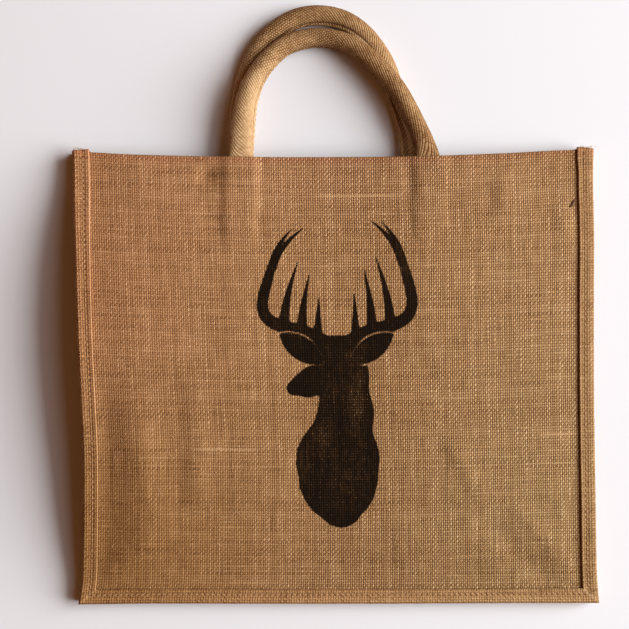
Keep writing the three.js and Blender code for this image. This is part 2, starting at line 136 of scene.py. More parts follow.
MAIN_FOLDS = [
    (128, 84, 190, 12, 1.3, 11),
    (118, 66, 178, 8, -1.1, 10),
    (84, 132, 114, 78, 1.1, 11),
    (-106, 178, -104, 74, 1.2, 13),
    (-150, 150, -138, 62, 1.5, 15),
    (-182, 20, -120, 74, 1.2, 12),
    (92, 340, 186, 292, 1.4, 12),
    (132, 338, 122, 296, 1.3, 11),
    (176, 318, 180, 268, 1.0, 10),
    (52, 62, 66, 30, 0.9, 12),
    (-30, 46, 12, 40, -0.8, 14),
    (-160, 330, -118, 300, 0.8, 13),
]
FINE_FOLDS = [
    (-97, 338, -97, 327, -3.0, 8),
    (-94, 312, -88, 280, -0.6, 8),
    (57, 340, 58, 312, -1.1, 6),
    (85, 344, 86, 326, 0.8, 7),
    (119, 340, 119, 302, -1.0, 7),
    (165, 306, 166, 290, -0.7, 8),
    (-150, 20, -150, 165, 1.5, 15),
    (-181, 36, -177, 168, -0.9, 9),
    (-116, 168, -118, 80, -0.5, 6),
    (-88, 100, -90, 70, -0.6, 10),
    (-60, 100, -20, 70, 0.3, 9),
    (58, 50, 62, 40, -0.6, 8),
    (96, 96, 98, 86, -0.6, 8),
    (80, 40, 106, 64, 0.35, 7),
    (140, 220, 150, 150, 0.3, 12),
    (160, 270, 168, 40, 0.7, 20),
    (-170, 260, -150, 210, 0.3, 10),
    (30, 20, 96, 26, 0.25, 8),
    (130, 78, 178, 22, -0.7, 5),
    (76, 132, 103, 82, -0.4, 5),
]
PRESSED = [  # where handle ends press the face out: left, right, lower edge, height, side, foot
    (-85, -60, 296, 1.7, 8, 26),
    (60, 84, 300, 1.6, 8, 20),
]

# Small helpers


def mix(a, b, share):
    return a + (b - a) * share


def smooth(share):
    t = np.clip(share, 0, 1)
    return t * t * (3 - 2 * t)


def ramp(value, low, high):
    """0 up to low, 1 from high on, smooth between them."""
    return smooth((value - low) / (high - low))


def bell(off, half):
    """1 in the middle, fading out either side of it."""
    return np.exp(-((off / half) ** 2))


def unit(vectors):
    """The same directions at length 1."""
    return vectors / (np.linalg.norm(vectors, axis=-1, keepdims=True) + 1e-9)


def follow(rows, key, column, at):
    """A smooth curve through one column of a table, read at values of its key column."""
    k = rows[key]
    c = rows[column]
    slope = np.empty_like(c)
    slope[1:-1] = (c[2:] - c[:-2]) / (k[2:] - k[:-2])
    slope[0] = (c[1] - c[0]) / (k[1] - k[0])
    slope[-1] = (c[-1] - c[-2]) / (k[-1] - k[-2])
    at = np.asarray(at, float)
    i = np.clip(np.searchsorted(k, at) - 1, 0, len(k) - 2)
    span = k[i + 1] - k[i]
    t = np.clip((at - k[i]) / span, 0, 1)
    rise = c[i + 1] - c[i]
    start = slope[i] * span
    end = slope[i + 1] * span
    return c[i] + start * t + (3 * rise - 2 * start - end) * t**2 + (start + end - 2 * rise) * t**3


def waves(x, y, seed, count, longest, shortest):
    """Random gentle unevenness, about one unit high: waves of many lengths and headings."""
    random = np.random.default_rng(seed)
    total = np.zeros_like(x)
    for _ in range(count):
        length = np.exp(random.uniform(np.log(shortest), np.log(longest)))
        turn = random.uniform(0, np.pi)
        phase = random.uniform(0, 2 * np.pi)
        along = x * np.cos(turn) + y * np.sin(turn)
        total += np.sin(2 * np.pi * along / length + phase) * (length / longest) ** 0.5
    return total / np.sqrt(count)


# The face and the surfaces that follow it


def face_point(u, v):
    """x and y of the face at shares of its width and height."""
    y = mix(follow(ENDS, "share", "bottom", u), follow(ENDS, "share", "top", u), v)
    x = mix(follow(SIDES, "y", "left", y), follow(SIDES, "y", "right", y), u)
    return x, y


def face_shares(x, y):
    """The reverse of face_point."""
    left = follow(SIDES, "y", "left", y)
    u = (x - left) / (follow(SIDES, "y", "right", y) - left)
    bottom = follow(ENDS, "share", "bottom", u)
    return u, (y - bottom) / (follow(ENDS, "share", "top", u) - bottom)


def seam_inset(u, v):
    """Distance from the nearest sewn edge."""
    return np.minimum(np.minimum(u, 1 - u) * FACE_WIDTH, v * FACE_HEIGHT)


def off_seam(u, v, fade=SEAM):
    """0 on the flat of the seam, 1 well inside it."""
    return smooth((seam_inset(u, v) - SEAM) / fade)


def fold_height(fold, x, y):
    x1, y1, x2, y2, height, half = fold
    along_x = x2 - x1
    along_y = y2 - y1
    length = np.hypot(along_x, along_y)
    along = ((x - x1) * along_x + (y - y1) * along_y) / length
    off = ((x - x1) * along_y - (y - y1) * along_x) / length
    ends = smooth((along + half) / (2 * half)) * smooth((length + half - along) / (2 * half))
    return height * ends * bell(off, half)


def pressed_height(place, x, y):
    left, right, low, height, side, foot = place
    across = smooth((x - left) / side + 0.5) * smooth((right - x) / side + 0.5)
    return height * across * smooth((y - low) / foot + 1)


def swell(share):
    """0 at both edges of the face, 1 in its middle."""
    return 1 - (2 * share - 1) ** CROWN_FLATNESS


def front_height(u, v):
    """Height of the front panel's middle surface."""
    x, y = face_point(u, v)
    sides = mix(follow(SIDES, "y", "left_lift", y), follow(SIDES, "y", "right_lift", y), u)
    ends = mix(BOTTOM_LIFT, follow(ENDS, "share", "top_lift", u), v)
    mouth = mix(SIDES["left_lift"][-1], SIDES["right_lift"][-1], u)
    crown = CROWN * swell(u) * swell(v)
    relief = sum(fold_height(fold, x, y) for fold in MAIN_FOLDS)
    relief = relief + sum(pressed_height(place, x, y) for place in PRESSED)
    return sides + ends - mix(BOTTOM_LIFT, mouth, v) + crown + relief * off_seam(u, v)


def back_height(u, v):
    """Height of the back panel's middle surface, flat on the floor but for its edge."""
    return mix(BACK_EDGE, BACK_FLAT, off_seam(u, v, BACK_EDGE_FADE))


def hem_extra(u, v):
    """What the turned hem adds to the cloth's thickness."""
    down = follow(ENDS, "share", "top", u) - face_point(u, v)[1]
    clear = np.minimum(u, 1 - u) * FACE_WIDTH - HEM_CLEAR
    return CLOTH * smooth((HEM_DEPTH - down) / HEM_STEP) * smooth(clear / HEM_SIDE_FADE)


# The sewn edge


def edge_turns(side, bottom):
    """Evenly spaced turns, with the given number of steps on each side and along the bottom.

    A turn is a place on the sewn edge: 0 to 1 down the left, to 2 along the bottom, to 3 up the right.
    """
    parts = [np.linspace(0, 1, side + 1), np.linspace(1, 2, bottom + 1)[1:]]
    return np.concatenate([*parts, np.linspace(2, 3, side + 1)[1:]])


def edge_side(turn):
    """Which of the three sides a turn is on."""
    return np.clip(np.floor(turn), 0, 2).astype(int)


def edge_shares(turn, inset):
    """Shares of the face at a turn, that far in from the edge."""
    u = inset / FACE_WIDTH
    v = inset / FACE_HEIGHT
    left = turn <= 1
    right = turn > 2
    at_u = np.where(left, u, np.where(right, 1 - u, mix(u, 1 - u, turn - 1)))
    at_v = np.where(left, mix(1, v, turn), np.where(right, mix(v, 1, turn - 2), v))
    return at_u, at_v


def edge_length(turn, inset, side):
    """Millimetres along the sewn edge, by the rule of one of its three sides."""
    u, v = edge_shares(turn, inset)
    if side == 0:
        return FACE_HEIGHT * (1 - v)
    if side == 1:
        return FACE_HEIGHT + FACE_WIDTH * u
    return FACE_HEIGHT + FACE_WIDTH + FACE_HEIGHT * v


def edge_run(turn, inset):
    """Millimetres along the sewn edge, whichever side it is."""
    return np.choose(edge_side(turn), [edge_length(turn, inset, side) for side in range(3)])


# Meshes

MM = 0.001
SHIFT = np.array([-1.136, -233.841, 0])  # puts the origin under the middle of the whole bag
THREAD_STEP = 7.3  # keeps one thread's noise apart from the next one's
STEEP = 0.9  # a thread steeper than this gets its sides from another direction
STATION_SAMPLES = 4001  # for spacing the stations of a grid


def build(name, points, faces, material, uvs=None, floats=None):
    """A mesh object from points in millimetres. Coordinates are given for each point or corner."""
    mesh = bpy.data.meshes.new(name)
    placed = (np.asarray(points, float) + SHIFT) * MM
    mesh.from_pydata(placed.tolist(), [], [list(map(int, face)) for face in faces])
    corners = np.zeros(len(mesh.loops), int)
    mesh.loops.foreach_get("vertex_index", corners)
    for layer, values in (uvs or {}).items():
        values = np.asarray(values, np.float32).reshape(-1, 2)
        if len(values) == len(points):
            values = values[corners]
        mesh.uv_layers.new(name=layer).data.foreach_set("uv", values.ravel())
    for attribute, values in (floats or {}).items():
        data = mesh.attributes.new(attribute, "FLOAT", "POINT").data
        data.foreach_set("value", np.asarray(values, np.float32).ravel())
    mesh.polygons.foreach_set("use_smooth", [True] * len(mesh.polygons))
    mesh.materials.append(material)
    mesh.update()
    thing = bpy.data.objects.new(name, mesh)
    collection.objects.link(thing)
    return thing


def grid_faces(columns, rows, offset=0):
    """Quads over a grid whose points run along each row in turn."""
    a, b = np.meshgrid(np.arange(columns - 1), np.arange(rows - 1))
    first = (b * columns + a + offset).ravel()
    return np.stack([first, first + 1, first + columns + 1, first + columns], axis=1)


def slab(upper, lower):
    """Two grids of points and the four rims between them, as one closed body."""
    rows, columns = upper.shape[:2]
    count = rows * columns
    first = np.arange(count).reshape(rows, columns)
    faces = [grid_faces(columns, rows), grid_faces(columns, rows, count)[:, ::-1]]
    for line in (first[0], first[:, -1], first[-1, ::-1], first[::-1, 0]):
        faces.append(np.stack([line[1:], line[:-1], line[:-1] + count, line[1:] + count], axis=1))
    points = np.concatenate([upper.reshape(-1, 3), lower.reshape(-1, 3)])
    return points, np.concatenate(faces)


def ring_faces(index):
    """Quads between rings of points. index is (..., rings, points round each)."""
    around = np.roll(index, -1, axis=-1)
    low, high = np.s_[..., :-1, :], np.s_[..., 1:, :]
    return np.stack([index[low], around[low], around[high], index[high]], axis=-1).reshape(-1, 4)


def tubes(name, lines, radius, sides, material, taper):
    """Many threads as one mesh. lines is (threads, points, 3); radius is one number or one each."""
    lines = np.asarray(lines, float)
    threads, stations = lines.shape[:2]
    along = unit(np.gradient(lines, axis=1))
    helper = np.where(np.abs(along[..., 2:]) > STEEP, [1.0, 0, 0], [0, 0, 1.0])
    across = unit(np.cross(along, helper))
    out = np.cross(across, along)
    turn = np.linspace(0, 2 * np.pi, sides, endpoint=False)
    share = np.linspace(-1, 1, stations)
    width = mix(1, taper, share**4)[None, :, None, None]
    radius = np.broadcast_to(radius, (threads,))[:, None, None, None]
    ring = across[:, :, None] * np.cos(turn)[:, None] + out[:, :, None] * np.sin(turn)[:, None]
    points = lines[:, :, None] + ring * radius * width
    index = np.arange(threads * stations * sides).reshape(threads, stations, sides)
    faces = ring_faces(index).tolist() + index[:, 0, ::-1].tolist() + index[:, -1].tolist()
    reach = np.cumsum(np.linalg.norm(np.diff(lines, axis=1, prepend=lines[:, :1]), axis=2), axis=1)
    apart = np.arange(threads)[:, None, None] * THREAD_STEP
    u = np.broadcast_to(reach[:, :, None], index.shape) + apart
    v = np.broadcast_to(turn, index.shape)
    return build(name, points.reshape(-1, 3), faces, material, {"cloth": np.stack([u, v], axis=-1)})


def packed(low, high, fine_from, fine_to, fine, coarse):
    """Stations from low to high, closer together in one stretch; an even number of steps."""
    at = np.linspace(low, high, STATION_SAMPLES)
    inside = (at > fine_from) & (at < fine_to)
    steps = np.cumsum(np.where(inside, 1 / fine, 1 / coarse)) * (at[1] - at[0])
    steps -= steps[0]
    count = 2 * int(np.ceil(steps[-1] / 2))
    return np.interp(np.linspace(0, steps[-1], count + 1), steps, at)


# The printed stag, an own drawing of tapering strokes joined softly

HEAD = [  # skull, face, muzzle, neck and chest: x, y and radius of the two rounds of a stroke
    (-6, 199, 10.5, 9, 199, 10.5),
    (1, 192, 14.0, 7, 180, 17.0),
    (0, 188, 12.5, -20, 173, 9.6),
    (-21, 174, 8.6, -31, 170, 5.6),
    (7, 180, 17.0, 8, 150, 20.0),
    (8, 150, 20.0, 4, 128, 25.0),
    (2, 114, 32.0, 3, 96, 28.5),
    (3, 96, 28.5, 5, 76, 14.0),
]
HEAD_FILLET = 6
SKULL = (1, 203)  # between the roots of the antlers
EAR = {"root": (9, -15), "tip": (43, 8), "half": 8.8}
EAR_SLIT = 1.2  # bare line round an ear
EAR_SLIT_FROM = 13  # it starts this far from the skull's middle
EAR_SLIT_FADE = 8
BEAM = [(8, -2), (24, 20), (68, 4), (57, 42)]
BEAM_TOP = [(57, 42), (52, 59), (50, 74), (27, 92)]
BEAM_THICK = (5.6, 4.1, 0.5)
LOW_TINES = [  # share of the lower beam, reach, lean towards the middle in degrees, radius at the root
    (0.12, 33, 2, 3.6),
    (0.30, 46, 8, 4.1),
    (0.49, 53, 13, 4.1),
]
TOP_TINES = [(0.40, 34, 28, 3.2)]
TINE_FILLET = 2
TINE_TIP = 0.4
TINE_TAPER = 1.3
TINE_PULL = 0.6  # share of its lower half in which a tine keeps its first direction
BEAM_TAPERS = (1, 1.5)
CURVE_STROKES = 14
LEAN_LOW = 0.4  # share of its lean that a tine has in its lower half
LEAN_HIGH = 1.5  # and in its upper half
RACK = {-1: (0.95, 0.95), 1: (0.97, 1.02)}  # spread and height of each antler
RACK_FILLET = 2.5
FUR = 0.3  # raggedness of the chest
FUR_SCALE = (1.4, 0.8)  # finer across than along
FUR_TOP = 150
FUR_FADE = 30
NOWHERE = 1e3  # far outside every outline
INK_REACH = (-8, 14)  # distances inside the outline that the shader is given


def stroke(x, y, x1, y1, r1, x2, y2, r2):
    """Distance outside a straight stroke between two rounds, as the other shapes are given too."""
    along = ((x - x1) * (x2 - x1) + (y - y1) * (y2 - y1)) / ((x2 - x1) ** 2 + (y2 - y1) ** 2)
    t = np.clip(along, 0, 1)
    return np.hypot(x - mix(x1, x2, t), y - mix(y1, y2, t)) - mix(r1, r2, t)


def join(first, second, soft):
    """Union of two shapes with a fillet of the given size."""
    share = np.maximum(soft - np.abs(first - second), 0) / soft
    return np.minimum(first, second) - share**2 * soft / 4


def curve_at(curve, share):
    """Points of a cubic curve given by its four control points."""
    c = np.array(curve, float)
    t = np.asarray(share, float)[..., None]
    return c[0] * (1 - t) ** 3 + 3 * c[1] * t * (1 - t) ** 2 + 3 * c[2] * t**2 * (1 - t) + c[3] * t**3


def curved_stroke(x, y, curve, thick, thin, taper):
    """A stroke along a cubic curve, in short straight ones."""
    share = np.linspace(0, 1, CURVE_STROKES + 1)
    line = curve_at(curve, share)
    radius = mix(thick, thin, share**taper)
    shape = np.full_like(x, NOWHERE)
    for a, b, r1, r2 in zip(line[:-1], line[1:], radius[:-1], radius[1:]):
        shape = np.minimum(shape, stroke(x, y, a[0], a[1], r1, b[0], b[1], r2))
    return shape


def leaf(x, y, x1, y1, x2, y2, half):
    """A pointed oval from tip to tip: where two equal circles overlap."""
    length = np.hypot(x2 - x1, y2 - y1)
    along = ((x - x1) * (x2 - x1) + (y - y1) * (y2 - y1)) / length - length / 2
    off = np.abs((x - x1) * (y2 - y1) - (y - y1) * (x2 - x1)) / length
    radius = (length**2 / 4 + half**2) / (2 * half)
    return np.hypot(along, off + radius - half) - radius


def tine(x, y, root, reach, lean, thick):
    """A tine that leaves its beam nearly upright and bends towards the middle."""
    low, high = (np.radians(90 + lean * share) for share in (LEAN_LOW, LEAN_HIGH))
    middle = root + np.array([np.cos(low), np.sin(low)]) * reach / 2
    tip = middle + np.array([np.cos(high), np.sin(high)]) * reach / 2
    curve = [root, mix(root, middle, TINE_PULL), middle, tip]
    return curved_stroke(x, y, curve, thick, TINE_TIP, TINE_TAPER)


def antler(x, y, size):
    """One antler, to the right of the skull: a beam in two sweeps and the tines that stand on it."""
    low = np.array(BEAM) * size
    top = np.array(BEAM_TOP) * size
    shape = curved_stroke(x, y, low, *BEAM_THICK[:2], BEAM_TAPERS[0])
    shape = np.minimum(shape, curved_stroke(x, y, top, *BEAM_THICK[1:], BEAM_TAPERS[1]))
    for beam, tines in ((low, LOW_TINES), (top, TOP_TINES)):
        for share, reach, lean, thick in tines:
            root = curve_at(beam, share)
            shape = join(shape, tine(x, y, root, reach * size[1], lean, thick), TINE_FILLET)
    return shape


def stag(x, y):
    """Distance inside the print's outline, negative outside it."""
    shape = np.full_like(x, NOWHERE)
    up = y - SKULL[1]
    for part in HEAD:
        shape = join(shape, stroke(x, y, *part), HEAD_FILLET)
    for side, size in RACK.items():
        shape = join(shape, antler((x - SKULL[0]) * side, up, size), RACK_FILLET)
    for side in RACK:
        out = (x - SKULL[0]) * side
        ear = leaf(out, up, *EAR["root"], *EAR["tip"], EAR["half"])
        slit = EAR_SLIT * smooth((out - EAR_SLIT_FROM) / EAR_SLIT_FADE)
        shape = np.minimum(np.maximum(shape, slit - ear), ear)
    across, along = FUR_SCALE
    fur = waves(x * across, y * along, seed=5, count=14, longest=12, shortest=4)
    return np.clip(fur * smooth((FUR_TOP - y) / FUR_FADE) * FUR - shape, *INK_REACH)


# Shader building

SPECULAR = 0.08
SHEEN_ROUGHNESS = 0.6
BUMP_STRENGTH = 0.9


class Signal:
    """A shader value that takes part in sums, products and comparisons."""

    def __init__(self, shader, socket):
        self.shader = shader
        self.socket = socket

    def math(self, operation, *others):
        return self.shader.node("Math", dict(enumerate((self, *others))), operation=operation)

    def __add__(self, other):
        return self.math("ADD", other)

    def __sub__(self, other):
        return self.math("SUBTRACT", other)

    def __mul__(self, other):
        return self.math("MULTIPLY", other)

    def __truediv__(self, other):
        return self.math("DIVIDE", other)

    def over(self, low, high):
        """0 at low and beyond it, 1 at high and beyond it, smooth between them."""
        inputs = {"Value": self, "From Min": low, "From Max": high}
        return self.shader.node("MapRange", inputs, "Result", interpolation_type="SMOOTHSTEP")


class Shader:
    """One material's node tree and the few kinds of node that it needs."""

    def __init__(self, name):
        self.material = bpy.data.materials.new(name)
        self.material.use_nodes = True
        self.tree = self.material.node_tree

    def feed(self, node, inputs):
        """Links signals to a node's inputs, and sets the inputs that are numbers or colours."""
        for slot, value in inputs.items():
            if isinstance(value, Signal):
                self.tree.links.new(value.socket, node.inputs[slot])
            else:
                node.inputs[slot].default_value = value

    def node(self, kind, inputs, output=0, **settings):
        """One output of a new node. Inputs and output go by name or by number."""
        node = self.tree.nodes.new("ShaderNode" + kind)
        for key, value in settings.items():
            setattr(node, key, value)
        self.feed(node, inputs)
        return Signal(self, node.outputs[output])

    def coordinates(self, layer):
        x = self.node("SeparateXYZ", {0: self.node("UVMap", {}, uv_map=layer)}, "X")
        return x, Signal(self, x.socket.node.outputs["Y"])

    def attribute(self, name):
        return self.node("Attribute", {}, "Fac", attribute_name=name)

    def vector(self, *parts):
        return self.node("CombineXYZ", dict(enumerate(parts)))

    def noise(self, x, y, seed):
        """Smooth noise round zero, mostly within half a unit either way."""
        inputs = {"Vector": self.vector(x, y, seed), "Scale": 1, "Detail": 2}
        return self.node("TexNoise", inputs) - 0.5

    def chance(self, index, seed):
        """A fixed random number from 0 to 1 for each whole index."""
        inputs = {"Vector": self.vector(index + 0.5, seed)}
        return self.node("TexWhiteNoise", inputs, "Value", noise_dimensions="2D")

    def blend(self, share, first, second):
        """Mixes two colours, which are inputs 6 and 7 and output 2 of a Mix node."""
        first, second = ((*c, 1) if isinstance(c, tuple) else c for c in (first, second))
        return self.node("Mix", {0: share, 6: first, 7: second}, 2, data_type="RGBA")

    def scale(self, colour, factor):
        """A colour made lighter or darker."""
        return self.node("VectorMath", {0: colour, "Scale": factor}, operation="SCALE")

    def multiply(self, colour, *parts):
        """A colour with each of its three parts made stronger or weaker."""
        return self.node("VectorMath", {0: colour, 1: self.vector(*parts)}, operation="MULTIPLY")

    def finish(self, colour, height, depth, roughness, sheen=0):
        """Colour and relief go into the shader; depth is the relief's real height in metres."""
        bump = self.node("Bump", {"Height": height, "Distance": depth, "Strength": BUMP_STRENGTH})
        self.feed(self.tree.nodes["Principled BSDF"], {
            "Base Color": colour,
            "Roughness": roughness,
            "Specular IOR Level": SPECULAR,
            "Sheen Weight": sheen,
            "Sheen Roughness": SHEEN_ROUGHNESS,
            "Normal": bump,
        })
        return self.material


# Woven jute

JUTE_DARK = (0.215, 0.098, 0.035)
JUTE_MID = (0.43, 0.225, 0.095)
JUTE_PALE = (0.66, 0.40, 0.205)
# painted shade, seen in the gaps between yarns, in needle holes and in the grooves beside a seam
HOLE_SHADE = (0.040, 0.0125, 0.0035)
INK = (0.0085, 0.0042, 0.0017)
STALE_INK = (0.045, 0.019, 0.006)
RED_DIMS = (0.12, 0.09)  # what full red takes off the green and the blue
TAN_DIMS = 0.2  # what full tan takes off the blue
WANDER = 0.55  # how far yarns stray sideways, in yarns
WANDER_SCALE = (0.25, 0.02)  # per millimetre, across the yarns and along them
THICK_SCALE = (2.7, 0.05)  # of thick and thin places: from yarn to yarn, per millimetre along
THICK = 0.3  # how much they differ, in yarns
HALF_YARN = (0.44, 0.47)  # half width of upright and level yarns, in yarns
EVEN_FROM = 230  # from here to the left the yarns get evener
EVEN_TO = 70
ON_TOP = 0.42  # how much a crossing lifts the upper yarn and lowers the other
YARN_LUCK = 0.34  # share of a yarn's own random tone
THICK_TONE = 0.7  # and of its thickness
STREAK_SCALE = (0.6, 0.012)  # per millimetre, across a streak and along it
SLUBS = [(86, 137, 124, 0.5), (357, 386, 133, 0.45), (190, 246, 319, 0.45)]  # from, to, row, strength
SLUB_END = 8
CLOUD_SCALE = 0.028  # per millimetre, of three sizes of patches
PATCH_SCALE = 0.12
GRAIN_SCALE = 3.1
JUTE_RELIEF = 0.0006  # m


def with_shade_and_mouth_tint(shader, colour):
    """Painted light and shade in warm and cool tints, with the mouth's redder edge: redder patches and
    ones of a deeper tan.
    """
    red = shader.attribute("red")
    tan = shader.attribute("tan")
    blue = red * -RED_DIMS[1] - tan * TAN_DIMS + 1
    return shader.multiply(colour, 1.0, red * -RED_DIMS[0] + 1, blue)


def rounded(off):
    """Half a circle over -1 to 1."""
    return (off * off * -1 + 1).math("MAXIMUM", 0).math("SQRT")


def plain_weave(shader, x, y, pitches, closing, painted_patches, seed):
    """Height and tone from 0 to 1, the upright yarn's share and how even both yarns are."""
    fast, slow = WANDER_SCALE
    across = x * (1 / pitches[0]) + x * x * closing + shader.noise(x * fast, y * slow, seed) * WANDER
    along = y * (1 / pitches[1]) + shader.noise(x * slow, y * fast, seed + 3) * WANDER
    i = across.math("FLOOR")
    j = along.math("FLOOR")
    falling = ((across - along) * np.pi).math("COSINE")
    rising = ((across + along) * np.pi).math("COSINE")
    checker = falling * 0.72 - rising * 0.28
    apart, slow = THICK_SCALE
    thick_x = shader.noise(i * apart, y * slow, seed + 6)
    thick_y = shader.noise(x * slow, j * apart, seed + 9)
    even = x.over(EVEN_FROM, EVEN_TO) * (1 if painted_patches else 0)
    off_x = (across - i - 0.5) / (thick_x * THICK + even * 0.06 + HALF_YARN[0])
    off_y = (along - j - 0.5) / (thick_y * THICK + HALF_YARN[1])
    upright = (checker * ON_TOP + 0.58) * rounded(off_x)
    level = (checker * -ON_TOP + even * 0.07 + 0.54) * rounded(off_y)
    on_top = (upright - level).over(-0.12, 0.12)
    tone_x = shader.chance(i, seed) * YARN_LUCK + thick_x * THICK_TONE + 0.38
    tone_y = shader.chance(j, seed + 1) * YARN_LUCK + thick_y * THICK_TONE + 0.33
    return upright.math("MAXIMUM", level), tone_y + (tone_x - tone_y) * on_top, on_top, even


def with_slubs(shader, x, y, colour):
    """A few thick pale yarns that run along a row for a while."""
    for start, end, row, strength in SLUBS:
        band = (y - row).math("ABSOLUTE").over(1.5, 0.4) * x.over(start - SLUB_END, start + SLUB_END)
        share = band * x.over(end + SLUB_END, end - SLUB_END) * strength
        colour = shader.blend(share, colour, JUTE_PALE)
    return colour


def with_print(shader, x, y, colour, height, grain, streak, seed):
    """Ink with a ragged edge, stale in places and rubbed off the tops of the yarns in others."""
    wear = shader.attribute("wear")
    ragged = shader.noise(x * 1.1, y * 1.1, seed + 30) * 1.6 + (height - 0.6) * 0.8
    inside = (shader.attribute("ink") + ragged).over(-0.25, 0.3)
    stale = shader.noise(x * 0.25, y * 0.12, seed + 36) + wear * 0.5 + streak + (height - 0.7) * 0.9
    ink = shader.blend(stale.over(0.0, 0.7) * 0.8, INK, STALE_INK)
    rubbed = shader.noise(x * 0.5, y * 0.2, seed + 33) * 1.3 + grain * 1.3 + wear * 0.42
    bare = (rubbed + (height - 0.8) * 1.5).over(0.4, 1.0)
    return shader.blend(inside, colour, shader.blend(bare * 0.6, ink, colour))


def jute(name, pitches, seed, lightness, closing=0, printed=False, edged=False, painted_patches=False):
    """Plain-woven jute: yarns of uneven thickness and colour, painted shade in the gaps, upright floats
    painted lighter, stray streaks.

    pitches are the millimetres from yarn to yarn across and up, and closing draws them together
    across the face.
    """
    shader = Shader(name)
    x, y = shader.coordinates("cloth")
    height, tone, on_top, even = plain_weave(shader, x, y, pitches, closing, painted_patches, seed)
    wide, narrow = STREAK_SCALE
    cloud = shader.noise(x * CLOUD_SCALE, y * CLOUD_SCALE, seed + 12)
    patch = shader.noise(x * PATCH_SCALE, y * PATCH_SCALE, seed + 15)
    streak = shader.noise(x * wide, y * narrow, seed + 18)
    level_streak = shader.noise(x * narrow, y * wide, seed + 21)
    grain = shader.noise(x * GRAIN_SCALE, y * GRAIN_SCALE, seed + 24)
    tone = tone + patch * 0.2 + streak * 0.35 + level_streak * 0.12 + grain * 0.4
    yarn = shader.blend(tone.over(0.05, 0.55), JUTE_DARK, JUTE_MID)
    yarn = shader.blend(tone.over(0.5, 1.05), yarn, JUTE_PALE)
    # painted shade: the gaps between the yarns and the yarns' low flanks are darkened
    colour = shader.blend((height + even * 0.08).over(0.22, 0.78), HOLE_SHADE, yarn)
    light = cloud * 0.14 + patch * 0.12 + lightness
    if edged:
        # painted highlight on the strips' inner lips and paler mitre folds; painted shade in the needle
        # holes
        colour = shader.blend(shader.attribute("edge") * 0.6, colour, JUTE_PALE)
        colour = shader.blend(shader.attribute("pit_shade"), colour, HOLE_SHADE)
    # painted light and shade: soft patches painted lighter or darker, and tinted warmer or cooler
    if painted_patches:
        light = light + shader.attribute("light")
        colour = with_shade_and_mouth_tint(shader, colour)
    # painted light: where an upright yarn lies on top it is painted lighter, the cloth is painted lighter
    # towards the left, and the light attribute adds the painted light and shade patches
    colour = shader.scale(colour, light * (on_top * (even * -0.2 + 0.36) + even * 0.09 + 0.84))
    if printed:
        colour = with_slubs(shader, x, y, colour)
        colour = with_print(shader, x, y, colour, height, grain, streak, seed)
    return shader.finish(colour, height + grain * 0.12, JUTE_RELIEF, roughness=0.95)


# Tape and threads

TAPE_DARK = (0.150, 0.064, 0.021)
TAPE_MID = (0.42, 0.240, 0.108)
TAPE_PALE = (0.68, 0.455, 0.252)
FLOAT_STEP = 0.37  # how far each rib's floats are shifted from those of the rib before, in floats
TAPE_RELIEF = 0.00045  # m
THREAD_RELIEF = 0.0001  # m


def twill(name, seed):
    """Twill tape: slanted ribs of short floats, painted paler on their crowns and darker in their
    grooves.
    """
    shader = Shader(name)
    rib, bead = shader.coordinates("rib")
    length, girth = shader.coordinates("tape")
    dots = shader.attribute("dots")
    rib = rib + shader.noise(length * 0.25, girth * 0.25, seed) * 0.35
    row = rib.math("FLOOR")
    off = rib - row - 0.5
    crest = (off * off * -4 + 1).math("MAXIMUM", 0)
    place = bead + row * FLOAT_STEP + shader.chance(row, seed) * 0.3
    ripple = (place * (2 * np.pi)).math("COSINE") * 0.5 + 0.5
    height = crest * (ripple * (dots * 0.6 + 0.25) + (dots * -0.6 + 0.75))
    # painted light: on the lit side the ribs are flattened and the tape painted paler
    height = height + shader.attribute("flat") * (height * -0.75 + 0.6)
    fleck = shader.chance(row + place.math("FLOOR") * 17.0, seed + 2)
    grain = shader.noise(length * 2.2, girth * 2.2, seed + 4)
    cloud = shader.noise(length * 0.05, girth * 0.08, seed + 6)
    # painted highlight and shade: the ribs' crowns are painted paler and their grooves darker, and the
    # painted light and shade along the handle is added
    tone = height * 0.66 + fleck * 0.22 + grain * 0.45 + cloud * 0.5 + shader.attribute("painted_light_and_shade")
    colour = shader.blend(tone.over(0.08, 0.5), TAPE_DARK, TAPE_MID)
    colour = shader.blend(tone.over(0.45, 1.05), colour, TAPE_PALE)
    # painted shade in the grooves beside the seam and in the slit; the next line paints a highlight on
    # the slit's lips
    colour = shader.blend(shader.attribute("seam"), colour, HOLE_SHADE)
    colour = shader.blend(shader.attribute("lip_highlight") * 0.8, colour, TAPE_PALE)
    return shader.finish(colour, height + grain * 0.1, TAPE_RELIEF, roughness=0.85)


def thread(name, colour, seed):
    """Sewing thread and loose fibre: one colour, slightly uneven along its length."""
    shader = Shader(name)
    x, y = shader.coordinates("cloth")
    uneven = shader.noise(x * 0.8, y * 0.8, seed) * 0.6 + 1
    return shader.finish(shader.scale(colour, uneven), uneven, THREAD_RELIEF, roughness=0.8, sheen=0.1)


JUTE_CLOTH = jute("printed_jute", (1.775, 1.997), 1.0, 1.0, closing=4e-5, printed=True, painted_patches=True)
JUTE_BACK = jute("plain_jute", (1.725, 1.997), 61.0, 0.96)
JUTE_SIDE = jute("gusset_jute", (1.8, 1.95), 121.0, 0.92)
JUTE_TRIM = jute("binding_jute", (1.95, 2.0), 181.0, 1.06, edged=True, painted_patches=True)
TWILL = twill("twill_tape", 241.0)
THREAD = thread("jute_thread", (0.42, 0.215, 0.088), 301.0)
FIBRE = thread("jute_fibre", (0.66, 0.45, 0.26), 311.0)
DARK_FIBRE = thread("dark_fibre", (0.09, 0.035, 0.012), 321.0)

# Panels

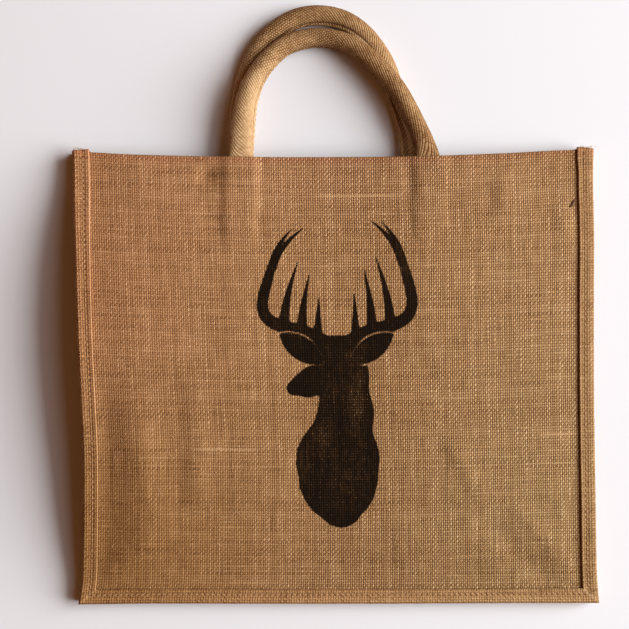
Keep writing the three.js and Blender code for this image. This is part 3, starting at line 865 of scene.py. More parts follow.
WORN = [  # places where the ink has rubbed off: x, y, half width, half height, strength
    (17, 160, 8, 30, 1.0),
    (-2, 168, 12, 16, 0.5),
    (-9, 134, 9, 14, 0.9),
    (8, 96, 22, 26, 0.55),
    (-24, 112, 10, 22, 0.5),
    (8, 196, 18, 10, 0.4),
    (50, 262, 16, 26, 0.5),
    (-36, 222, 18, 14, 0.4),
]
# Painted light and shade: soft patches painted lighter or darker, warmer where painted shade falls and
# cooler where painted light falls
PAINTED_SHADING = table("x y half_x half_y light red tan", [
    (-190, 320, 120, 100, 0.12, 0.70, 0.0),
    (-190, 210, 110, 80, 0.05, 0.60, 0.1),
    (-165, 50, 90, 85, -0.24, 0.80, 1.0),
    (150, 60, 110, 110, 0.04, -0.90, -0.2),
    (180, 220, 100, 120, 0.0, -0.45, -0.3),
    (0, 350, 120, 60, 0.06, 0.20, -0.3),
    (-92, 331, 9, 13, -0.13, 0.0, 0.4),
])
MOUTH_RED = 0.9  # the folded edge of the mouth is redder
MOUTH_RED_FADE = 5
UNEVEN = 0.16  # height of the cloth's own slight unevenness
LAST_ROW = FACE_HEIGHT - CLOTH
MOUTH_STEPS = 5  # round the folded edge of the mouth
PRINTED = {"columns": (136, 260), "rows": (54, 308)}  # where the front's mesh is finest
BACK_HEM = 310  # from here up the back's mesh is finer


def mouth_fold(x, y, height, extra, angles, outward):
    """Rows of points round the folded top edge, from the outer face over to the inner one."""
    radius = (CLOTH + extra) / 2
    middle = height - outward * extra / 2
    rows = []
    for angle in angles:
        up = middle + outward * radius * np.cos(angle)
        rows.append(np.stack([x, y + CLOTH * np.sin(angle), up], axis=-1))
    return np.array(rows)


def rim_faces(fine, coarse, last):
    """The faces between a panel's fine outer grid and its inner one, which has every other point.

    Both are grids of point numbers. The fine one goes on over the fold of the mouth after row last,
    and the coarse one runs back down from there.
    """
    faces = []
    for a in range(coarse.shape[1] - 1):
        high, low = fine[-1, 2 * a:2 * a + 3], fine[0, 2 * a:2 * a + 3]
        faces.append([*high, coarse[0, a + 1], coarse[0, a]])
        faces.append([coarse[-1, a], coarse[-1, a + 1], *low[::-1]])
    for side, turn in ((0, 1), (-1, -1)):
        edge, inner = fine[:, side], coarse[::-1, side]
        for low in range(0, last - 2, 2):
            faces.append([*edge[low:low + 3], inner[low // 2 + 1], inner[low // 2]][::turn])
        faces.append([*edge[last - 2:], inner[-1]][::turn])
    return faces


def panel(name, columns, rows, height_of, outward, material, relief_of=None, floats_of=None):
    """One panel with its turned hem. The outer side is fine, the inner side has every other point."""
    u, v = np.meshgrid(columns / FACE_WIDTH, rows / FACE_HEIGHT)
    x, y = face_point(u, v)
    extra = hem_extra(u, v)
    height = height_of(u, v) + outward * (relief_of(u, v, x, y) if relief_of else 0)
    outer = np.stack([x, y, height + outward * CLOTH / 2], axis=-1)
    inner = np.stack([x, y, height - outward * (CLOTH / 2 + extra)], axis=-1)[::2, ::2][-2::-1]
    angles = np.linspace(0, np.pi, MOUTH_STEPS + 1)[1:]
    fine = np.concatenate([outer, mouth_fold(x[-1], y[-1], height[-1], extra[-1], angles, outward)])
    wide = len(columns)
    half = wide // 2 + 1
    flat = np.stack(np.meshgrid(columns, rows), axis=-1)
    over = [np.stack([columns, np.full(wide, rows[-1] + CLOTH * angle)], axis=-1) for angle in angles]
    fine_flat = np.concatenate([flat, np.array(over)])
    inner_flat = flat[::2, ::2][-2::-1] * [1, -1] + [0, 2 * rows[-1] + CLOTH * np.pi]
    start = len(fine) * wide
    fine_index = np.arange(start).reshape(-1, wide)
    inner_index = np.arange(len(inner) * half).reshape(-1, half) + start
    faces = grid_faces(wide, len(fine)).tolist() + grid_faces(half, len(inner), start).tolist()
    faces += rim_faces(fine_index, inner_index, len(rows) - 1)
    if outward < 0:
        faces = [face[::-1] for face in faces]
    points = np.concatenate([fine.reshape(-1, 3), inner.reshape(-1, 3)])
    coords = np.concatenate([fine_flat.reshape(-1, 2), inner_flat.reshape(-1, 2)])
    floats = {}
    for key, values in (floats_of(x, y) if floats_of else {}).items():
        floats[key] = np.full(len(points), values.min() if key == "ink" else 0.0)
        floats[key][: values.size] = values.ravel()
    return build(name, points, faces, material, {"cloth": coords}, floats)


def front_relief(u, v, x, y):
    """The front panel's fine folds and slight unevenness, which its solid doesn't have."""
    fine = sum(fold_height(fold, x, y) for fold in FINE_FOLDS)
    uneven = waves(x, y, seed=11, count=30, longest=90, shortest=18) * UNEVEN
    return (fine + uneven) * off_seam(u, v)


def painted_shading_and_mouth_red(x, y):
    """Painted light and shade: soft patches painted lighter or darker, redder or of a deeper tan where
    painted shade falls and less so where painted light falls, and the folded edge of the mouth, which is
    redder.
    """
    total = dict.fromkeys(("light", "red", "tan"), np.zeros_like(x))
    for at_x, at_y, half_x, half_y, *strengths in zip(*PAINTED_SHADING.values()):
        share = bell(x - at_x, half_x) * bell(y - at_y, half_y)
        total = {key: total[key] + share * strength for key, strength in zip(total, strengths)}
    mouth = bell((face_shares(x, y)[1] - 1) * FACE_HEIGHT, MOUTH_RED_FADE)
    total["red"] = total["red"] + MOUTH_RED * mouth
    return total


def print_floats(x, y):
    """What the front's material reads at each point: the print, its wear, the painted light and shade,
    and the mouth's redder edge.
    """
    worn = np.zeros_like(x)
    for at_x, at_y, half_x, half_y, strength in WORN:
        worn += strength * bell(x - at_x, half_x) * bell(y - at_y, half_y)
    return {"ink": stag(x, y), "wear": worn, **painted_shading_and_mouth_red(x, y)}


front = panel(
    "front_cloth",
    packed(RAW_EDGE, FACE_WIDTH - RAW_EDGE, *PRINTED["columns"], fine=1.1, coarse=2.3),
    packed(RAW_EDGE, LAST_ROW, *PRINTED["rows"], fine=1.15, coarse=2.0),
    front_height, 1, JUTE_CLOTH, front_relief, print_floats,
)
back = panel(
    "back_cloth",
    packed(RAW_EDGE, FACE_WIDTH - RAW_EDGE, 0, 0, fine=3, coarse=3),
    packed(RAW_EDGE, LAST_ROW, BACK_HEM, FACE_HEIGHT, fine=1.5, coarse=3),
    back_height, -1, JUTE_BACK,
)

# Gusset

GUSSET_STEPS = {"side": 90, "bottom": 100}
LEG_COLUMNS = 27
FOLD_COLUMNS = 9


def gusset_middle(turn, inset, leg):
    """Height of the gusset's middle surface, in its front leg, 1, or its back leg, -1."""
    u, v = edge_shares(turn, np.minimum(inset, SEAM))
    seam_u, seam_v = edge_shares(turn, SEAM)
    crease = CREASE_LOW + CREASE_RISE * (front_height(seam_u, seam_v) - BOTTOM_LIFT)
    share = np.maximum(inset - SEAM, 0) / (CREASE_INSET - SEAM)
    at_seam = front_height(u, v) - CLOTH - CURVED_GAP if leg > 0 else back_height(u, v) + CLOTH + GAP
    return mix(at_seam, crease + leg * CREASE_RADIUS, (smooth(share) + share) / 2)


def seam_uvs(insets, girths, turns, faces):
    """Coordinates of every corner of a slab round the sewn edge, by the rule of the corner's side."""
    rows, columns = len(turns), len(insets)
    turn, inset = np.meshgrid(turns, insets, indexing="ij")
    girth = np.broadcast_to(girths, (rows, columns)).ravel()
    lengths = [edge_length(turn, inset, side).ravel() for side in range(3)]
    at = faces % (rows * columns)
    first = np.minimum((at // columns).min(axis=1), rows - 2)
    side = edge_side((turns[first] + turns[first + 1]) / 2)
    along = np.choose(side[:, None], [length[at] for length in lengths])
    return np.stack([girth[at], along], axis=-1).reshape(-1, 2)


def gusset_grid(turns, side):
    """One side of the gusset, from the back seam round the crease to the front seam."""
    insets = np.linspace(RAW_EDGE, CREASE_INSET, LEG_COLUMNS)
    half = side * CLOTH / 2
    radius = CREASE_RADIUS + half
    middle = (gusset_middle(turns, CREASE_INSET, 1) + gusset_middle(turns, CREASE_INSET, -1)) / 2
    columns = [(inset, gusset_middle(turns, inset, -1) - half) for inset in insets]
    for angle in np.radians(np.linspace(-90, 90, FOLD_COLUMNS))[1:-1]:
        columns.append((CREASE_INSET + radius * np.cos(angle), middle + radius * np.sin(angle)))
    columns += [(inset, gusset_middle(turns, inset, 1) + half) for inset in insets[::-1]]
    points = []
    for inset, z in columns:
        x, y = face_point(*edge_shares(turns, inset))
        points.append(np.stack([x, y, z], axis=-1))
    return np.array([c[0] for c in columns]), np.stack(points, axis=1)


turns = edge_turns(**GUSSET_STEPS)
insets, outside = gusset_grid(turns, 1)
_, inside = gusset_grid(turns, -1)
points, faces = slab(outside, inside)
section = outside[len(turns) // 2]
girths = np.cumsum(np.linalg.norm(np.diff(section, axis=0, prepend=section[:1]), axis=1))
gusset_coords = {"cloth": seam_uvs(insets, girths, turns, faces)}
side_cloth = build("gusset_cloth", points, faces, JUTE_SIDE, gusset_coords)

# Bindings

FOLD_INSET = BINDING_NOSE + BINDING / 2
BINDING_TAIL = 2  # the cut ends stand this far past the mouth, at the inner edge
TAIL_AT_FOLD = 0.2  # share of that at the outer fold
BACK_LEG_SHORT = 0.6  # the hidden leg is this much narrower
BACK_LEG_STEPS = 4
LIP_ANGLES = [-60, -20, 20, 55]  # round the strip's inner edge
STITCH = 4.17
STITCH_INSET = 7.8
PIT_HALF = (0.85, 0.8)  # half length and half width of a needle hole
PIT_DEPTH = 0.55
PUFF = 0.16  # the strip swells either side of the stitch line
PUFF_HALF = 4.2
MITRE_HALF = 1.5
MITRE_RISE = 0.4
MITRE_FADE = (-2, 7)  # insets between which a mitre gets visible
LIP_FADE = (-1.5, -0.3)  # the same for the pale lip, counted from the inner edge
STRIP_UNEVEN = 0.12
FLARE = 0.10  # share by which the front strip is wider towards the mouth
FLARE_LEFT_END = 0.4  # in turns
FLARE_RIGHT_START = 2.94
FLARE_RIGHT_FADE = 0.05
# painted light and shade: how much lighter or darker each strip is painted, and how strong the painted
# highlight on its inner lip is
STRIP_PAINTED_LIGHT = [0.04, -0.02, -0.17]  # left, bottom and right strip
LIP_HIGHLIGHT = [0.5, 0.0, 0.45]


def binding_section(side, gap, leg_steps, turn_steps):
    """Insets and rises over the panel's middle surface, from the inner edge round to the hidden leg.

    side is 1 for the strip's outer surface and -1 for its inner one.
    """
    radius = BINDING / 2
    half = side * radius
    outer_leg = CLOTH / 2 + gap + radius
    inner_leg = outer_leg + CLOTH + gap
    middle = (outer_leg - inner_leg) / 2
    straight = (outer_leg + inner_leg) / 2
    rows = []
    for angle in np.radians(LIP_ANGLES):
        across, lift = (radius * np.cos(angle), radius * np.sin(angle)) if side > 0 else (0, half)
        rows.append((BINDING_WIDTH - radius + across, middle + straight + lift))
    for inset in np.linspace(BINDING_WIDTH - radius, FOLD_INSET, leg_steps + 1)[:-1]:
        rows.append((inset, middle + straight + half))
    for angle in np.radians(np.linspace(90, -90, turn_steps + 1)):
        inset = FOLD_INSET - (BINDING_NOSE + half) * np.cos(angle)
        rows.append((inset, middle + (straight + half) * np.sin(angle)))
    for inset in np.linspace(FOLD_INSET, BINDING_WIDTH - BACK_LEG_SHORT, BACK_LEG_STEPS + 1)[1:]:
        rows.append((inset, middle - straight - half))
    return np.array(rows).T


def stitch_pits(turn, inset):
    """1 at each needle hole, 0 between them."""
    along = edge_run(turn, STITCH_INSET + 0 * inset) / STITCH
    nearest = np.abs(along - np.round(along)) * STITCH
    return bell(nearest, PIT_HALF[0]) * bell(inset - STITCH_INSET, PIT_HALF[1])


def mitre_share(turn):
    """1 on the two mitre folds, fading out either side of them."""
    away = np.minimum(np.abs(turn - 1), np.abs(turn - 2)) * mix(FACE_WIDTH, FACE_HEIGHT, 0.5)
    return bell(away, MITRE_HALF)


def flare(turn):
    """The front strip is a little wider towards the mouth, over a longer stretch on the left."""
    right = smooth((turn - FLARE_RIGHT_START) / FLARE_RIGHT_FADE)
    return FLARE * smooth(1 - turn / FLARE_LEFT_END) + FLARE * right


def binding_points(section, turns, height_of, outward, detail):
    """A grid of points, one column for each point of the section."""
    columns = []
    for inset, rise in zip(*section):
        u, v = edge_shares(turns, inset * (1 + flare(turns) * detail))
        x, y = face_point(u, v)
        cut = (turns == 0) | (turns == 3)
        tail = np.where(cut, BINDING_TAIL * mix(TAIL_AT_FOLD, 1, inset / BINDING_WIDTH), 0)
        lift = rise
        if detail and rise > 0:
            run = edge_run(turns, inset)
            lift = lift - PUFF * np.cos(np.clip((inset - STITCH_INSET) / PUFF_HALF, -1, 1) * np.pi)
            lift = lift - PIT_DEPTH * stitch_pits(turns, inset) + MITRE_RISE * mitre_share(turns)
            uneven = waves(run, inset + 0 * run, seed=31, count=16, longest=60, shortest=6)
            lift = lift + uneven * STRIP_UNEVEN
        columns.append(np.stack([x, y + tail, height_of(u, v) + outward * lift], axis=-1))
    return np.stack(columns, axis=1)


def binding(name, height_of, outward, gap, steps, leg_steps, turn_steps, detail):
    """A strip folded over a panel's sewn edge; detail adds what shows on the front one."""
    turns = edge_turns(*steps)
    sections = [binding_section(side, gap, leg_steps, turn_steps) for side in (1, -1)]
    grids = [binding_points(section, turns, height_of, outward, detail) for section in sections]
    points, faces = slab(*grids)
    if outward > 0:
        faces = faces[:, ::-1]
    insets, rises = sections[0]
    girth = np.cumsum(np.hypot(np.diff(insets, prepend=insets[0]), np.diff(rises, prepend=rises[0])))
    turn, inset = np.meshgrid(turns, insets, indexing="ij")
    side = edge_side(turn)
    # painted highlight on the inner lip, paler mitre folds, and painted shade in the needle holes
    lip_highlight = ramp(inset - BINDING_WIDTH, *LIP_FADE) * (rises > 0) * np.choose(side, LIP_HIGHLIGHT)
    edge = np.maximum(lip_highlight, mitre_share(turn) * ramp(inset, *MITRE_FADE))
    pit_shade = stitch_pits(turn, inset) * (rises > 0)
    # painted light and shade: the front's soft patches, and each strip painted lighter or darker by side
    floats = {key: values * detail for key, values in painted_shading_and_mouth_red(points[:, 0], points[:, 1]).items()}
    floats["light"] = floats["light"] + detail * np.tile(np.choose(side, STRIP_PAINTED_LIGHT).ravel(), 2)
    for key, values in (("edge", edge), ("pit_shade", pit_shade)):
        floats[key] = np.concatenate([values.ravel(), np.zeros(values.size)])
    coords = {"cloth": seam_uvs(insets, girth, turns, faces)}
    return build(name, points, faces, JUTE_TRIM, coords, floats)


front_edge = binding(
    "front_strip", front_height, 1, CURVED_GAP,
    steps=(336, 384), leg_steps=16, turn_steps=8, detail=True,
)
back_edge = binding(
    "back_strip", back_height, -1, GAP,
    steps=(110, 120), leg_steps=6, turn_steps=6, detail=False,
)

# Handles

# Routes outside the bag: x, y, z, width, thickness, and the seam's turn in degrees from straight up
FRONT_ROUTE = [
    (-72.0, 362, 19.2, 18.4, 11.4, 100),
    (-71.0, 376, 18.8, 17.8, 13.2, 101),
    (-68.6, 391, 18.4, 16.6, 14.4, 103),
    (-62.9, 406.9, 17.8, 15.2, 14.6, 108),
    (-53.0, 421.6, 16.8, 14.6, 14.6, 116),
    (-38.0, 435.2, 12.8, 14.4, 14.6, 122),
    (-14.0, 441.6, 10.6, 14.4, 14.6, 126),
    (9.0, 436.8, 13.4, 14.4, 14.6, 128),
    (25.0, 425.4, 17.6, 14.4, 14.6, 128),
    (36.0, 415.0, 19.0, 14.4, 14.6, 128),
    (46.6, 402.6, 18.7, 14.4, 14.6, 126),
    (56.0, 387.2, 18.2, 14.4, 14.2, 124),
    (64.6, 370.0, 18.6, 14.6, 12.6, 122),
    (69.6, 358.0, 18.9, 15.6, 11.0, 120),
]
BACK_ROUTE = [
    (-75.4, 362, 6.0, 16.6, 8.4, 100),
    (-74.8, 376, 5.2, 15.6, 8.8, 100),
    (-73.2, 392, 5.2, 14.8, 9.4, 98),
    (-69.0, 411, 6.0, 14.6, 11.0, 96),
    (-61.6, 429, 7.2, 14.4, 13.4, 94),
    (-48.4, 445.6, 7.7, 14.4, 14.6, 92),
    (-30.6, 456.7, 7.7, 14.4, 14.6, 98),
    (-11.0, 459.7, 7.7, 14.4, 14.6, 94),
    (8.2, 455.4, 7.7, 14.4, 14.6, 82),
    (23.6, 444.4, 7.4, 14.4, 14.0, 66),
    (35.4, 429.4, 6.4, 14.6, 12.0, 54),
    (43.0, 414.0, 5.3, 14.8, 9.8, 42),
    (47.6, 398.0, 4.8, 14.8, 8.6, 32),
    (53.4, 380.0, 5.0, 15.0, 8.2, 24),
    (57.8, 364.0, 6.0, 15.6, 8.2, 20),
]
FRONT_TABS = (-72.6, 71.8, 19, 8.2)  # x of the left and right end, width and thickness at the mouth
BACK_TABS = (-75.2, 59.8, 17, 8.2)
TAB_DROPS = [(1, 0), (14, 0.7), (28, 1), (48, 1)]  # below the mouth, share of full flatness

# By share of the length: the slant of the ribs in degrees, and how much lighter or darker the tape is
# painted, as painted light and shade
FRONT_SLANT = [(0, 36), (0.2, 37), (0.3, 56), (0.38, 90), (0.46, 128), (0.52, 143), (0.72, 164), (1, 170)]
BACK_SLANT = [(0, 60), (0.28, 78), (0.36, 98), (0.46, 130), (0.55, 140), (0.7, 142), (1, 150)]
FRONT_PAINTED_LIGHT = [(0, 0.1), (0.3, 0.1), (0.42, 0.0), (0.6, -0.28), (0.8, -0.26), (1, -0.17)]
BACK_PAINTED_LIGHT = [(0, 0.36), (0.28, 0.28), (0.42, -0.14), (0.55, -0.24), (0.7, -0.02), (1, 0.13)]

HANDLE_STEPS = 480
HANDLE_SIDES = 96
CURVE_SAMPLES = 6001  # for measuring a route's length
CURVE_NEAR = 1e-4  # a route's direction is taken over this share of it either way
RIB = 1.75  # pitch of the twill's ribs
FLOAT = RIB * 1.3  # pitch of the floats along a rib
RIDGE_HALF = 24  # degrees either side of the seam
RIDGE_FADE = 16
GROOVE = 3  # degrees outside the ridge
GROOVE_HALF = 5
GROOVE_DEPTH = 0.45
TAPE_UNEVEN = 0.1
SCALLOP = 4.5  # pitch of the stitches that pinch the front handle's ridge
SCALLOP_LOW = 0.55  # share of the ridge's height under a stitch
PINCHED_TO = 0.32  # share of the length up to which they do so
PINCHED_FADE = 0.08
# painted light: up to here the front handle's lit side is painted paler and its ribs flattened
LIT_SIDE_PAINTED_TO = 0.34  # up to this share the front handle's lit side hardly shows its ribs
LIT_SIDE_PAINTED_FADE = 0.1
LIT_FROM = -15  # degrees round the handle
LIT_FADE = 40
# painted shade and highlight: from here the back handle's seam is painted as a dark slit between two pale
# lips
PAINTED_SLIT_FROM = 0.55  # from this share on the back handle's seam gapes
PAINTED_SLIT_FADE = 0.1
SLIT_INSET = 8  # degrees inside the ridge
SLIT_FADE = 6
# painted shade: how dark the slit and the grooves beside the seam are painted, and how much paler where
# stitches pinch the ridge
SLIT_SHADE = 0.35
SEAM_GROOVE_SHADE = 0.75
STITCHED_PALER = 0.4
DOTS_FADE = (0.05, 0.08)  # at the start and the end of the stretch with dots, by share


def tab_rows(tabs, x, centre, seam):
    """Rows of a route for one flattened end, from the mouth down."""
    _, _, mouth_wide, mouth_thick = tabs
    u, _ = face_shares(x, FACE_HEIGHT)
    mouth = float(follow(ENDS, "share", "top", u))
    rows = []
    for drop, flat in TAB_DROPS:
        wide = mix(mouth_wide, TAB_WIDTH, flat)
        thick = mix(mouth_thick, TAB_THICK, flat)
        rows.append((x, mouth - drop, centre(x, mouth - drop, thick), wide, thick, seam))
    return rows


def under_front(x, y, thick):
    """Height of a flattened end that is sewn under the front panel's hem."""
    return float(front_height(*face_shares(x, y)) - HEM_FACE - TAB_GAP - thick / 2)


def over_back(x, y, thick):
    """Height of a flattened end that lies on the back panel's hem."""
    return float(back_height(*face_shares(x, y)) + HEM_FACE + TAB_GAP + thick / 2)


def curve_points(knots, t):
    """Centripetal Catmull-Rom curve through the knots."""
    whole = np.vstack([2 * knots[0] - knots[1], knots, 2 * knots[-1] - knots[-2]])
    at = t * (len(knots) - 1)
    i = np.clip(np.floor(at).astype(int), 0, len(knots) - 2)
    w = (at - i)[:, None]
    p0, p1, p2, p3 = (whole[i + k] for k in range(4))
    spans = (p1 - p0, p2 - p1, p3 - p2)
    d0, d1, d2 = (np.linalg.norm(span, axis=1)[:, None] ** 0.5 for span in spans)
    start = ((p1 - p0) / d0 - (p2 - p0) / (d0 + d1) + (p2 - p1) / d1) * d1
    end = ((p2 - p1) / d1 - (p3 - p1) / (d1 + d2) + (p3 - p2) / d2) * d1
    bend = 3 * (p2 - p1) - 2 * start - end
    return p1 + start * w + bend * w**2 + (2 * (p1 - p2) + start + end) * w**3


def handle_line(knots):
    """Even stations along a route.

    For each: the distance run, the share of the curve, the place, and the level and the upright
    direction across the route.
    """
    fine = np.linspace(0, 1, CURVE_SAMPLES)
    steps = np.diff(curve_points(knots, fine), axis=0, prepend=knots[:1])
    length = np.linalg.norm(steps, axis=1).cumsum()
    run = np.linspace(0, length[-1], HANDLE_STEPS + 1)
    t = np.interp(run, length, fine)
    ahead = curve_points(knots, np.minimum(t + CURVE_NEAR, 1))
    along = unit(ahead - curve_points(knots, np.maximum(t - CURVE_NEAR, 0)))
    across = unit(np.cross(along, [0, 0, 1]))
    return run, t, curve_points(knots, t), across, np.cross(across, along)


def boxy(value, power):
    """A sine or cosine made boxier by a power below 1."""
    return np.sign(value) * np.abs(value) ** power


def rib_coordinates(quads, run, girth, slant):
    """Coordinates of each corner: in ribs across and floats along, and in millimetres of tape."""
    first = quads[:, :1]
    station = first // HANDLE_SIDES + [0, 0, 1, 1]
    column = first % HANDLE_SIDES + [0, 1, 1, 0]
    w = (column / HANDLE_SIDES - 0.5) * girth[station]
    share, degrees = np.array(slant, float).T
    lean = np.radians(np.interp(run / run[-1], share, degrees))
    step = run[-1] / HANDLE_STEPS
    rib = w * (np.cos(lean) / RIB)[station] + (np.cumsum(np.sin(lean)) * step / RIB)[station]
    bead = (np.cumsum(np.cos(lean)) * step / FLOAT)[station] - w * (np.sin(lean) / FLOAT)[station]
    extra = np.zeros((2 * HANDLE_SIDES, 2))
    return {
        "rib": np.concatenate([np.stack([rib, bead], axis=-1).reshape(-1, 2), extra]),
        "tape": np.concatenate([np.stack([run[station], w], axis=-1).reshape(-1, 2), extra]),
    }


def tape_relief(run, angle, off, scallop, pinched):
    """Height of the seam that closes the tape, with its two grooves, and of the tape's unevenness."""
    crest = smooth((RIDGE_HALF - off) / RIDGE_FADE) * mix(1, mix(SCALLOP_LOW, 1, scallop), pinched)
    girth = angle * HANDLE_THICK / 2
    uneven = waves(run + 0 * girth, girth + 0 * run, seed=41, count=18, longest=70, shortest=12)
    return SEAM_RIDGE * crest - GROOVE_DEPTH * groove_share(off) + uneven * TAPE_UNEVEN


def groove_share(off):
    """1 in the two grooves beside the seam, by the distance from the seam in degrees."""
    return bell(off - RIDGE_HALF - GROOVE, GROOVE_HALF)


def tape_marks(at, turn, off, dark, dotted, scalloped):
    """What the tape's material reads, from the share of the length and the turn round the handle: the
    dots, painted shade in the seam's grooves and slit, a painted highlight on the slit's lips, and the
    lit side painted paler.

    off is the distance from the seam in degrees, and dark how dark the seam's grooves are painted.
    """
    painted_slit = smooth((at - PAINTED_SLIT_FROM) / PAINTED_SLIT_FADE) * (1 - scalloped)
    slit = smooth((RIDGE_HALF - SLIT_INSET - off) / SLIT_FADE) * SLIT_SHADE
    dots = smooth((at - dotted[0]) / DOTS_FADE[0]) * smooth((dotted[1] - at) / DOTS_FADE[1])
    painted_lit_side = smooth((LIT_SIDE_PAINTED_TO - at) / LIT_SIDE_PAINTED_FADE) * scalloped
    return {
        "dots": dots + 0 * off,
        "seam": mix(groove_share(off) * dark, slit, painted_slit),
        "flat": smooth((turn - LIT_FROM) / LIT_FADE) * painted_lit_side,
        "lip_highlight": bell(off - RIDGE_HALF + GROOVE, GROOVE_HALF) * painted_slit,
    }


def handle(name, route, tabs, centre, slant, painted_light_and_shade, dotted, scalloped):
    """A rope in twill tape, closed by a seam along it, with its ends flattened inside the bag.

    centre gives the height of a flattened end, dotted is the stretch whose floats show as dots, and
    scalloped is 1 where stitches pinch the ridge of the left leg.
    """
    left = tab_rows(tabs, tabs[0], centre, route[0][-1])[::-1]
    rows = left + route + tab_rows(tabs, tabs[1], centre, route[-1][-1])
    sizes = table("at wide thick seam", [(i / (len(rows) - 1), *row[3:]) for i, row in enumerate(rows)])
    run, t, middle, across, out = handle_line(np.array([row[:3] for row in rows], float))
    wide, thick, seam = (follow(sizes, "at", key, t)[:, None] for key in ("wide", "thick", "seam"))
    fullness = smooth((thick - TAB_THICK) / (HANDLE_THICK - TAB_THICK))
    power = mix(TAB_FLATNESS, 1, fullness)
    turn = np.linspace(-180, 180, HANDLE_SIDES, endpoint=False)[None, :]
    angle = np.radians(turn)
    off = np.abs((turn - seam + 180) % 360 - 180)
    at = run[:, None] / run[-1]
    scallop = 0.5 + 0.5 * np.cos(2 * np.pi * run[:, None] / SCALLOP)
    pinched = smooth((PINCHED_TO - at) / PINCHED_FADE) * scalloped
    relief = tape_relief(run[:, None], angle, off, scallop, pinched) * fullness
    reach_x = wide / 2 * boxy(np.sin(angle), power) + relief * np.sin(angle)
    reach_z = thick / 2 * boxy(np.cos(angle), power) + relief * np.cos(angle)
    points = middle[:, None] + across[:, None] * reach_x[..., None] + out[:, None] * reach_z[..., None]
    index = np.arange(reach_x.size).reshape(reach_x.shape)
    quads = ring_faces(index)
    faces = [*quads.tolist(), index[0, ::-1].tolist(), index[-1].tolist()]
    dark = fullness * (SEAM_GROOVE_SHADE - STITCHED_PALER * scallop * pinched)
    floats = tape_marks(at, turn, off, dark, dotted, scalloped)
    # painted light and shade along the handle
    floats["painted_light_and_shade"] = np.interp(at, *np.array(painted_light_and_shade).T) + 0 * off
    coords = rib_coordinates(quads, run, np.pi * (wide + thick)[:, 0] / 2, slant)
    return build(name, points.reshape(-1, 3), faces, TWILL, coords, floats)


front_grip = handle(
    "front_tape", FRONT_ROUTE, FRONT_TABS, under_front, FRONT_SLANT, FRONT_PAINTED_LIGHT,
    dotted=(0.3, 0.58), scalloped=1,
)
back_grip = handle(
    "back_tape", BACK_ROUTE, BACK_TABS, over_back, BACK_SLANT, BACK_PAINTED_LIGHT,
    dotted=(0.16, 0.52), scalloped=0,
)

# Stitches and loose fibres

THREAD_RADIUS = 0.36
THREAD_DIP = 0.95  # into each needle hole
THREAD_RISE = 1.0  # back up between two holes
CORNERS = (0, FACE_HEIGHT, FACE_HEIGHT + FACE_WIDTH, 2 * FACE_HEIGHT + FACE_WIDTH)  # along the edge
THREAD_BOW = 0.7  # below 1 the thread rises more steeply than a sine
FIBRES = 260
FIBRE_X = (-180, 185)
FIBRE_Y = (16, 338)
FIBRE_BEND = 0.9  # radians
FIBRE_REACH = (2.2, 2.3)  # shape and scale of the spread of lengths
FIBRE_SHORTEST = 2
FIBRE_RISE = (0.1, 1.5)
FIBRE_OFF = 0.25  # above the cloth where it starts
FIBRE_CLEAR = 2  # distance from the print
FIBRE_RADIUS = 0.07
ENDS_EACH = 26  # frayed yarns at each strip
END_PLACES = ((0.004, 0.027), (0.973, 0.999))  # shares of the width
END_SPREAD = 0.5  # radians
END_BEND = 0.4
END_REACH = (0.8, 2.8)
END_LIFT = (1.2, 2.6)
END_RADIUS = 0.16
DARK_ENDS = ((180.3, 307.5), (184.9, 313.8))
DARK_SWAY = 0.4
DARK_OFF = 0.4
DARK_RADIUS = 0.9
PATH = np.linspace(0, 1, 9)[None, :]  # shares of a thread's length


def on_front(x, y):
    """Height of the front panel's upper surface."""
    return front_height(*face_shares(x, y)) + CLOTH / 2


def binding_stitches():
    """One thread from hole to hole along the front binding, dipping into each hole."""
    top = CLOTH / 2 + CURVED_GAP + BINDING
    bow = THREAD_RISE * np.sin(np.pi * PATH[0]) ** THREAD_BOW - THREAD_DIP
    lines = []
    for side, (start, end) in enumerate(zip(CORNERS[:-1], CORNERS[1:])):
        low = start + STITCH_INSET if side > 0 else start
        high = end - STITCH_INSET if side < 2 else end
        last = (high if side == 0 else end - STITCH) / STITCH
        holes = np.arange(max(np.ceil(low / STITCH), 1), last) * STITCH
        for first, second in zip(holes[:-1], holes[1:]):
            share = (mix(first, second, PATH[0]) - low) / (high - low)
            u, v = edge_shares(np.clip(side + share, side, side + 1), STITCH_INSET)
            x, y = face_point(u, v)
            lines.append(np.stack([x, y, front_height(u, v) + top + bow], axis=-1))
    return np.array(lines)


def wander(x, y, heading, reach):
    """Paths from x, y that turn as they go: x and y of their points."""
    step = reach[:, None] / (PATH.size - 1)
    across = x[:, None] + np.cumsum(np.cos(heading) * step, axis=1)
    return across, y[:, None] + np.cumsum(np.sin(heading) * step, axis=1)


def face_fibres(random):
    """Single fibres that stand off the face, none of them on the print."""
    x = random.uniform(*FIBRE_X, FIBRES)
    y = random.uniform(*FIBRE_Y, FIBRES)
    heading = random.uniform(0, 2 * np.pi, FIBRES)
    bend = random.normal(0, FIBRE_BEND, (FIBRES, 2))
    reach = random.gamma(*FIBRE_REACH, FIBRES) + FIBRE_SHORTEST
    x, y = wander(x, y, heading[:, None] + bend[:, :1] * PATH + bend[:, 1:] * PATH**2, reach)
    arch = np.sin(np.pi * np.minimum(PATH * 1.2, 1))
    rise = random.uniform(*FIBRE_RISE, FIBRES)[:, None] * arch
    clear = stag(x, y).max(axis=1) < -FIBRE_CLEAR
    return np.stack([x, y, on_front(x, y) + FIBRE_OFF + rise], axis=-1)[clear]


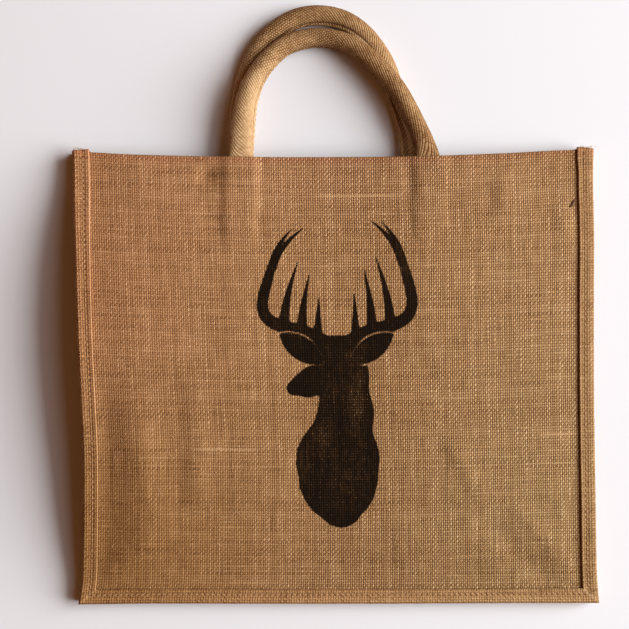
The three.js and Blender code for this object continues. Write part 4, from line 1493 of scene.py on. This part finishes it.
def yarn_ends(random):
    """Frayed yarns at the tops of the two binding strips."""
    count = 2 * ENDS_EACH
    u = np.concatenate([random.uniform(*place, ENDS_EACH) for place in END_PLACES])
    x, y = face_point(u, 1)
    heading = np.pi / 2 + random.normal(0, END_SPREAD, count)[:, None] + PATH * END_BEND
    x, y = wander(x, y + BINDING_TAIL - 1, heading, random.uniform(*END_REACH, count))
    z = front_height(u, 1)[:, None] + random.uniform(*END_LIFT, count)[:, None] - PATH
    return np.stack([x, y, z], axis=-1)


def dark_end():
    """The short dark thread that sticks out of the face near its upper right corner."""
    (x1, y1), (x2, y2) = DARK_ENDS
    x = mix(x1, x2, PATH) + np.sin(PATH * 5) * DARK_SWAY
    y = mix(y1, y2, PATH)
    return np.stack([x, y, on_front(x, y) + DARK_OFF], axis=-1)


random = np.random.default_rng(77)
fibre_paths = face_fibres(random)
end_paths = yarn_ends(random)
paths = np.concatenate([fibre_paths, end_paths])
radii = np.repeat([FIBRE_RADIUS, END_RADIUS], [len(fibre_paths), len(end_paths)])
edge_thread = tubes("binding_stitches", binding_stitches(), THREAD_RADIUS, 6, THREAD, taper=0.9)
fibres = tubes("loose_fibres", paths, radii, 4, FIBRE, taper=0.4)
dark_thread = tubes("dark_thread", dark_end(), DARK_RADIUS, 6, DARK_FIBRE, taper=0.3)

# Floor, light and air

FLOOR_HALF = 30  # m
FLOOR_FINISH = {"Base Color": (0.775, 0.76, 0.785, 1), "Roughness": 0.8, "Specular IOR Level": 0.2}
COOL = (0.93, 0.98, 1.0)
LAMPS = [  # place and size in metres, power in watts
    ("window", (4.30, 0.35, 2.50), 4.1, 530),
    ("fill", (1.40, 0.25, 2.10), 1.4, 16),
]
AIR = {"Color": (1.0, 0.37, 0.11, 1), "Strength": 0.14}

corners = [(-1, -1), (1, -1), (1, 1), (-1, 1)]
floor_mesh = bpy.data.meshes.new("floor")
floor_mesh.from_pydata([(x * FLOOR_HALF, y * FLOOR_HALF, 0) for x, y in corners], [], [(0, 1, 2, 3)])
floor_finish = bpy.data.materials.new("pale_floor")
floor_finish.use_nodes = True
for slot, value in FLOOR_FINISH.items():
    floor_finish.node_tree.nodes["Principled BSDF"].inputs[slot].default_value = value
floor_mesh.materials.append(floor_finish)
floor = bpy.data.objects.new("floor", floor_mesh)
collection.objects.link(floor)

for name, place, size, power in LAMPS:
    data = bpy.data.lights.new(name, "AREA")
    data.shape = "SQUARE"
    data.size = size
    data.energy = power
    data.color = COOL
    lamp = bpy.data.objects.new(name, data)
    lamp.location = place
    lamp.rotation_euler = (-Vector(place)).to_track_quat("-Z", "Y").to_euler()
    collection.objects.link(lamp)

world = bpy.data.worlds.new("air")
bpy.context.scene.world = world
world.use_nodes = True
for slot, value in AIR.items():
    world.node_tree.nodes["Background"].inputs[slot].default_value = value
bpy.context.scene.view_settings.view_transform = "Standard"

# Each piece hangs from the root body, and the CAD part that it stands for is hidden

for piece, node, slot in (
    (front, "front_panel", "jute"),
    (back, "back_panel", "jute"),
    (side_cloth, "gusset", "jute"),
    (front_edge, "front_binding", "binding"),
    (back_edge, "back_binding", "binding"),
    (front_grip, "front_handle", "tape"),
    (back_grip, "back_handle", "tape"),
):
    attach(piece, "root")
    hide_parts(node)
for piece, slot in ((edge_thread, "binding"), (fibres, "jute"), (dark_thread, "jute")):
    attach(piece, "root")
